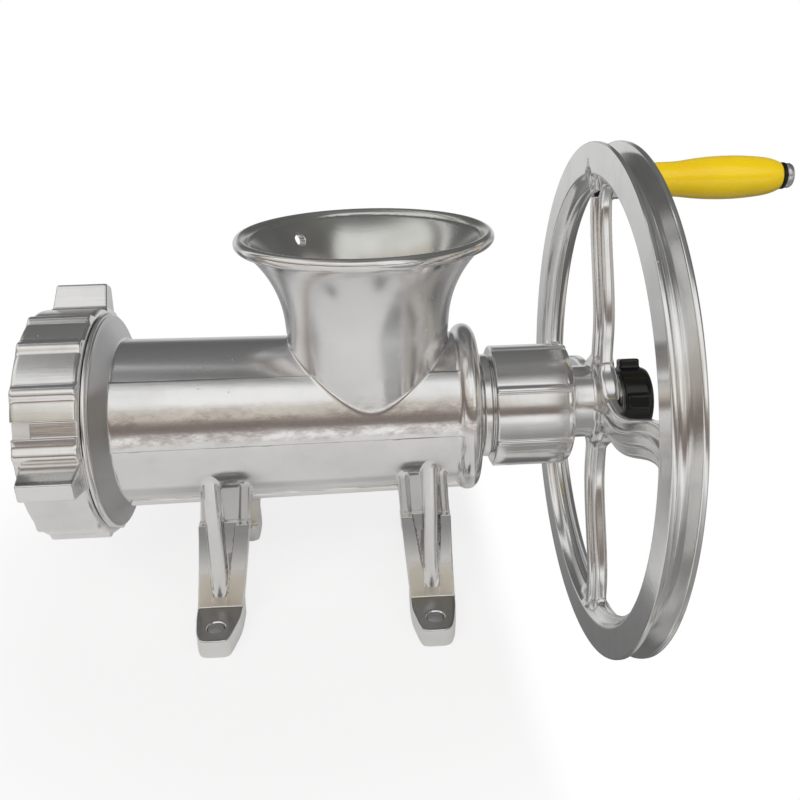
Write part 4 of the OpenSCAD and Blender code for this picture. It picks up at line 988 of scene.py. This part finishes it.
# Knob: a black moulded hand nut with four lugs that clamps the wheel on the shaft. A brass insert
# in it carries the thread.
KNOB_START, KNOB_END = ends("knob", 0)
KNOB_R, KNOB_TURN, KNOB_QUARTER, KNOB_REACH = 18, 18, 90, 22.8
KNOB_LUG_X, KNOB_LUG_ROOT, KNOB_LUG_R = 173, 10, 22.7
INSERT_HOLE_R, DISH_R, DISH_FLOOR = 13.9, 13, 182.2


def knob(x, y, z):
    r, angle = from_axis(y, z)
    body = disc(x, r, start=KNOB_START, end=KNOB_END, radius=KNOB_R, edge=1.0)
    body = soft_max(body, chamfer(x, r, start=180.8, radius=KNOB_R), fillet=2.0)
    off = np.radians((angle - KNOB_TURN + KNOB_QUARTER / 2) % KNOB_QUARTER - KNOB_QUARTER / 2)
    lug = bar(r * np.sin(off), x - KNOB_LUG_X, half_u=4, half_v=5.5, edge=1.2)
    lug = soft_max(lug, slab(r * np.cos(off), start=KNOB_LUG_ROOT, end=KNOB_LUG_R), fillet=1.4)
    body = soft_min(body, lug, fillet=1.2)
    dish = soft_max(r - DISH_R, DISH_FLOOR - x, fillet=0.8)
    hollow = np.minimum(disc(x, r, start=160, end=178.5, radius=INSERT_HOLE_R, edge=0.4), dish)
    return soft_max(body, -hollow, fillet=0.6)


knob_piece = piece_of("knob_moulding", skin(
    knob, low=(KNOB_START, -KNOB_REACH, AXIS_H - KNOB_REACH),
    high=(KNOB_END, KNOB_REACH, AXIS_H + KNOB_REACH), step=(0.55, 0.55, 0.55)))
black = moulded("black_moulding", colour=(0.004, 0.004, 0.004), rough=0.14, shine=0.45, scuffs=0.12)
knob_piece.data.materials.append(black)
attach(knob_piece, "knob")
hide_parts("knob")
dress(turned("insert_brass", colour=(0.72, 0.55, 0.25), rough=0.25, grain=ALONG_AXIS),
      "knob_insert")


# Stage: a pale bench under the feet, with the wheel hanging past its edge. The bench looks white
# and keeps the shadows.
BENCH_X, BENCH_Y = (-0.3, 0.112), (-0.54, 0.25)
bench_mesh = bpy.data.meshes.new("bench")
bench_mesh.from_pydata([(BENCH_X[0], BENCH_Y[0], 0), (BENCH_X[1], BENCH_Y[0], 0),
                        (BENCH_X[1], BENCH_Y[1], 0), (BENCH_X[0], BENCH_Y[1], 0)], [],
                       [(0, 1, 2, 3)])
bench_top = bpy.data.objects.new("bench", bench_mesh)
bpy.context.scene.collection.objects.link(bench_top)
bench, body, shade, place = finish_of("pale_bench")
mottle = shade.noise(place, scale=6.0, detail=2.0)
shade.feed(body.inputs["Base Color"], shade.tint(mottle, (0.72, 0.72, 0.715), (0.78, 0.78, 0.775)))
body.inputs["Roughness"].default_value = 0.7


def rays_of(shade):
    """Is Camera Ray and Is Glossy Ray."""
    seen = shade.node("ShaderNodeLightPath")
    return seen, Shade(shade.tree, seen.socket.node.outputs["Is Glossy Ray"])


seen, mirrored = rays_of(shade)
along, across = shade.part_of(place, 0), shade.part_of(place, 1)
open_part = shade.maths("MAXIMUM", along.length(across).above(0.14, 0.3), along.above(0.085, 0.108))
glow = shade.node("ShaderNodeEmission", Strength=1.0)
mixed = shade.node("ShaderNodeMixShader", i0=seen * (0.78 + 0.22 * open_part) + mirrored * 0.1,
                   i1=Shade(shade.tree, body.outputs[0]), i2=glow)
shade.feed(bench.node_tree.nodes["Material Output"].inputs["Surface"], mixed)
bench_mesh.materials.append(bench)


# Room: a pale backdrop behind, a pale table, dim walls and a bright ceiling in front, which the
# polished metal shows. Bearings are degrees from the near side, positive to the right.
world = bpy.data.worlds.new("studio")
bpy.context.scene.world = world
world.use_nodes = True
sky = Shade(world.node_tree)
way = sky.node("ShaderNodeTexCoord")
rise = sky.maths("ARCSINE", sky.part_of(way, 2)) * DEGREES
bearing = sky.maths("ARCTAN2", sky.part_of(way, 0), sky.part_of(way, 1) * -1.0) * DEGREES
left_way = bearing * -1.0
rise_share = rise * (1 / 180) + 0.5


def by_height(steps):
    """Grey or colour over the angle above the horizon, in degrees."""
    stops = [((a + 90) / 180, c if isinstance(c, tuple) else (c, c, c)) for a, c in steps]
    return sky.node("ShaderNodeValToRGB", {"stops": stops}, Fac=rise_share)


front = by_height([(-90, 0.25), (-40, 0.3), (-18, 0.6), (-12, 1.0), (-3, (0.95, 0.93, 0.91)),
                   (2, (0.17, 0.13, 0.12)), (13, (0.22, 0.175, 0.155)), (19, (0.6, 0.55, 0.48)),
                   (32, (0.72, 0.68, 0.62)), (39, 0.95), (58, 0.95), (69, 0.36), (77, 0.13),
                   (90, 0.17)])
rear = by_height([(-90, 0.6), (-60, 0.4), (-48, 0.1), (-14, 0.1), (-6, 0.5), (8, 0.55), (16, 0.12),
                  (56, 0.12), (74, 0.2), (90, 0.22)])
backdrop = by_height([(-90, 0.2), (-50, 0.13), (-36, 0.18), (-22, 0.34), (-8, 0.58), (6, 0.62),
                      (12, 0.3), (18, 0.12), (90, 0.2)])
right_wall = bearing.above(54.0, 60.0) * bearing.above(96.0, 90.0) * rise.above(34.0, 24.0)
right_post = bearing.above(63.0, 66.0) * bearing.above(77.0, 74.0) * rise.above(10.0, 0.0)
window_side = bearing.above(7.0, 15.0) * bearing.above(40.0, 32.0)
window = window_side * rise.above(15.0, 21.0) * rise.above(60.0, 50.0)
left_table = left_way.above(48.0, 56.0) * left_way.above(96.0, 93.0) * rise.above(-4.0, -10.0)
left_post = left_way.above(93.0, 96.0) * left_way.above(112.0, 109.0) * rise.above(0.0, -8.0)
left_screen = left_way.above(118.0, 122.0) * left_way.above(134.0, 128.0)
clutter = sky.noise(way, scale=3.2, detail=3.0, rough=0.6).above(0.3, 0.75) * 0.3
behind = sky.size_of(bearing).above(143.0, 152.0)
room = sky.tint(bearing.above(43.0, 52.0) + left_way.above(103.0, 112.0), front, rear)
for zone, colour in ((right_wall, (0.56, 0.53, 0.47)), (right_post, (0.1, 0.1, 0.1)),
                     (window, (1.0, 1.0, 1.0)), (left_table, (0.7, 0.7, 0.69)),
                     (left_post, (0.1, 0.1, 0.1)), (left_screen, (0.9, 0.9, 0.9)),
                     (clutter, (0.3, 0.29, 0.28)), (behind, backdrop)):
    room = sky.tint(zone, room, colour)
seen, mirrored = rays_of(sky)
horizon = behind * rise.above(-24.0, -4.0) * rise.above(14.0, 6.0)
white = sky.maths("MAXIMUM", seen, mirrored * horizon * 0.2)
sky.feed(world.node_tree.nodes["Background"].inputs["Color"],
         sky.tint(white, room, (1.0, 1.0, 1.0)))


# Lights and camera: three soft panels that the metal doesn't mirror, and the camera at the
# photograph's place.
LIGHT_AIM = (0.03, 0, 0.1)


def soft_light(name, place, size, power):
    lamp = bpy.data.lights.new(name, "AREA")
    lamp.shape = "RECTANGLE"
    lamp.size, lamp.size_y = size
    lamp.energy = power
    panel = bpy.data.objects.new(name, lamp)
    panel.location = place
    panel.rotation_euler = (Vector(LIGHT_AIM) - Vector(place)).to_track_quat("-Z", "Y").to_euler()
    panel.visible_glossy = False
    bpy.context.scene.collection.objects.link(panel)


soft_light("key", place=(-0.35, -1.0, 1.15), size=(1.4, 0.7), power=9)
soft_light("fill", place=(1.1, -0.8, 1.0), size=(0.9, 0.7), power=5)
soft_light("back", place=(0.4, 1.1, 1.0), size=(1.4, 0.7), power=7)

CAMERA_PLACE, YAW, PITCH_DOWN, ROLL = (0.02492, -0.45427, 0.2924), 0.043, -0.387, -0.025
camera_data = bpy.data.cameras.new("camera")
camera_data.sensor_width = 36.0
camera_data.lens = 39.837
camera_data.clip_start = 0.01
camera = bpy.data.objects.new("camera", camera_data)
ahead = Vector((math.sin(YAW) * math.cos(PITCH_DOWN), math.cos(YAW) * math.cos(PITCH_DOWN),
                math.sin(PITCH_DOWN)))
right = Vector((math.cos(YAW), -math.sin(YAW), 0))
above = right.cross(ahead)
turned_right = math.cos(ROLL) * right + math.sin(ROLL) * above
turned_above = -math.sin(ROLL) * right + math.cos(ROLL) * above
facing = Matrix((turned_right, turned_above, -ahead)).transposed().to_4x4()
camera.matrix_world = Matrix.Translation(CAMERA_PLACE) @ facing
bpy.context.scene.collection.objects.link(camera)
bpy.context.scene.camera = camera
bpy.context.scene.view_settings.view_transform = "Standard"
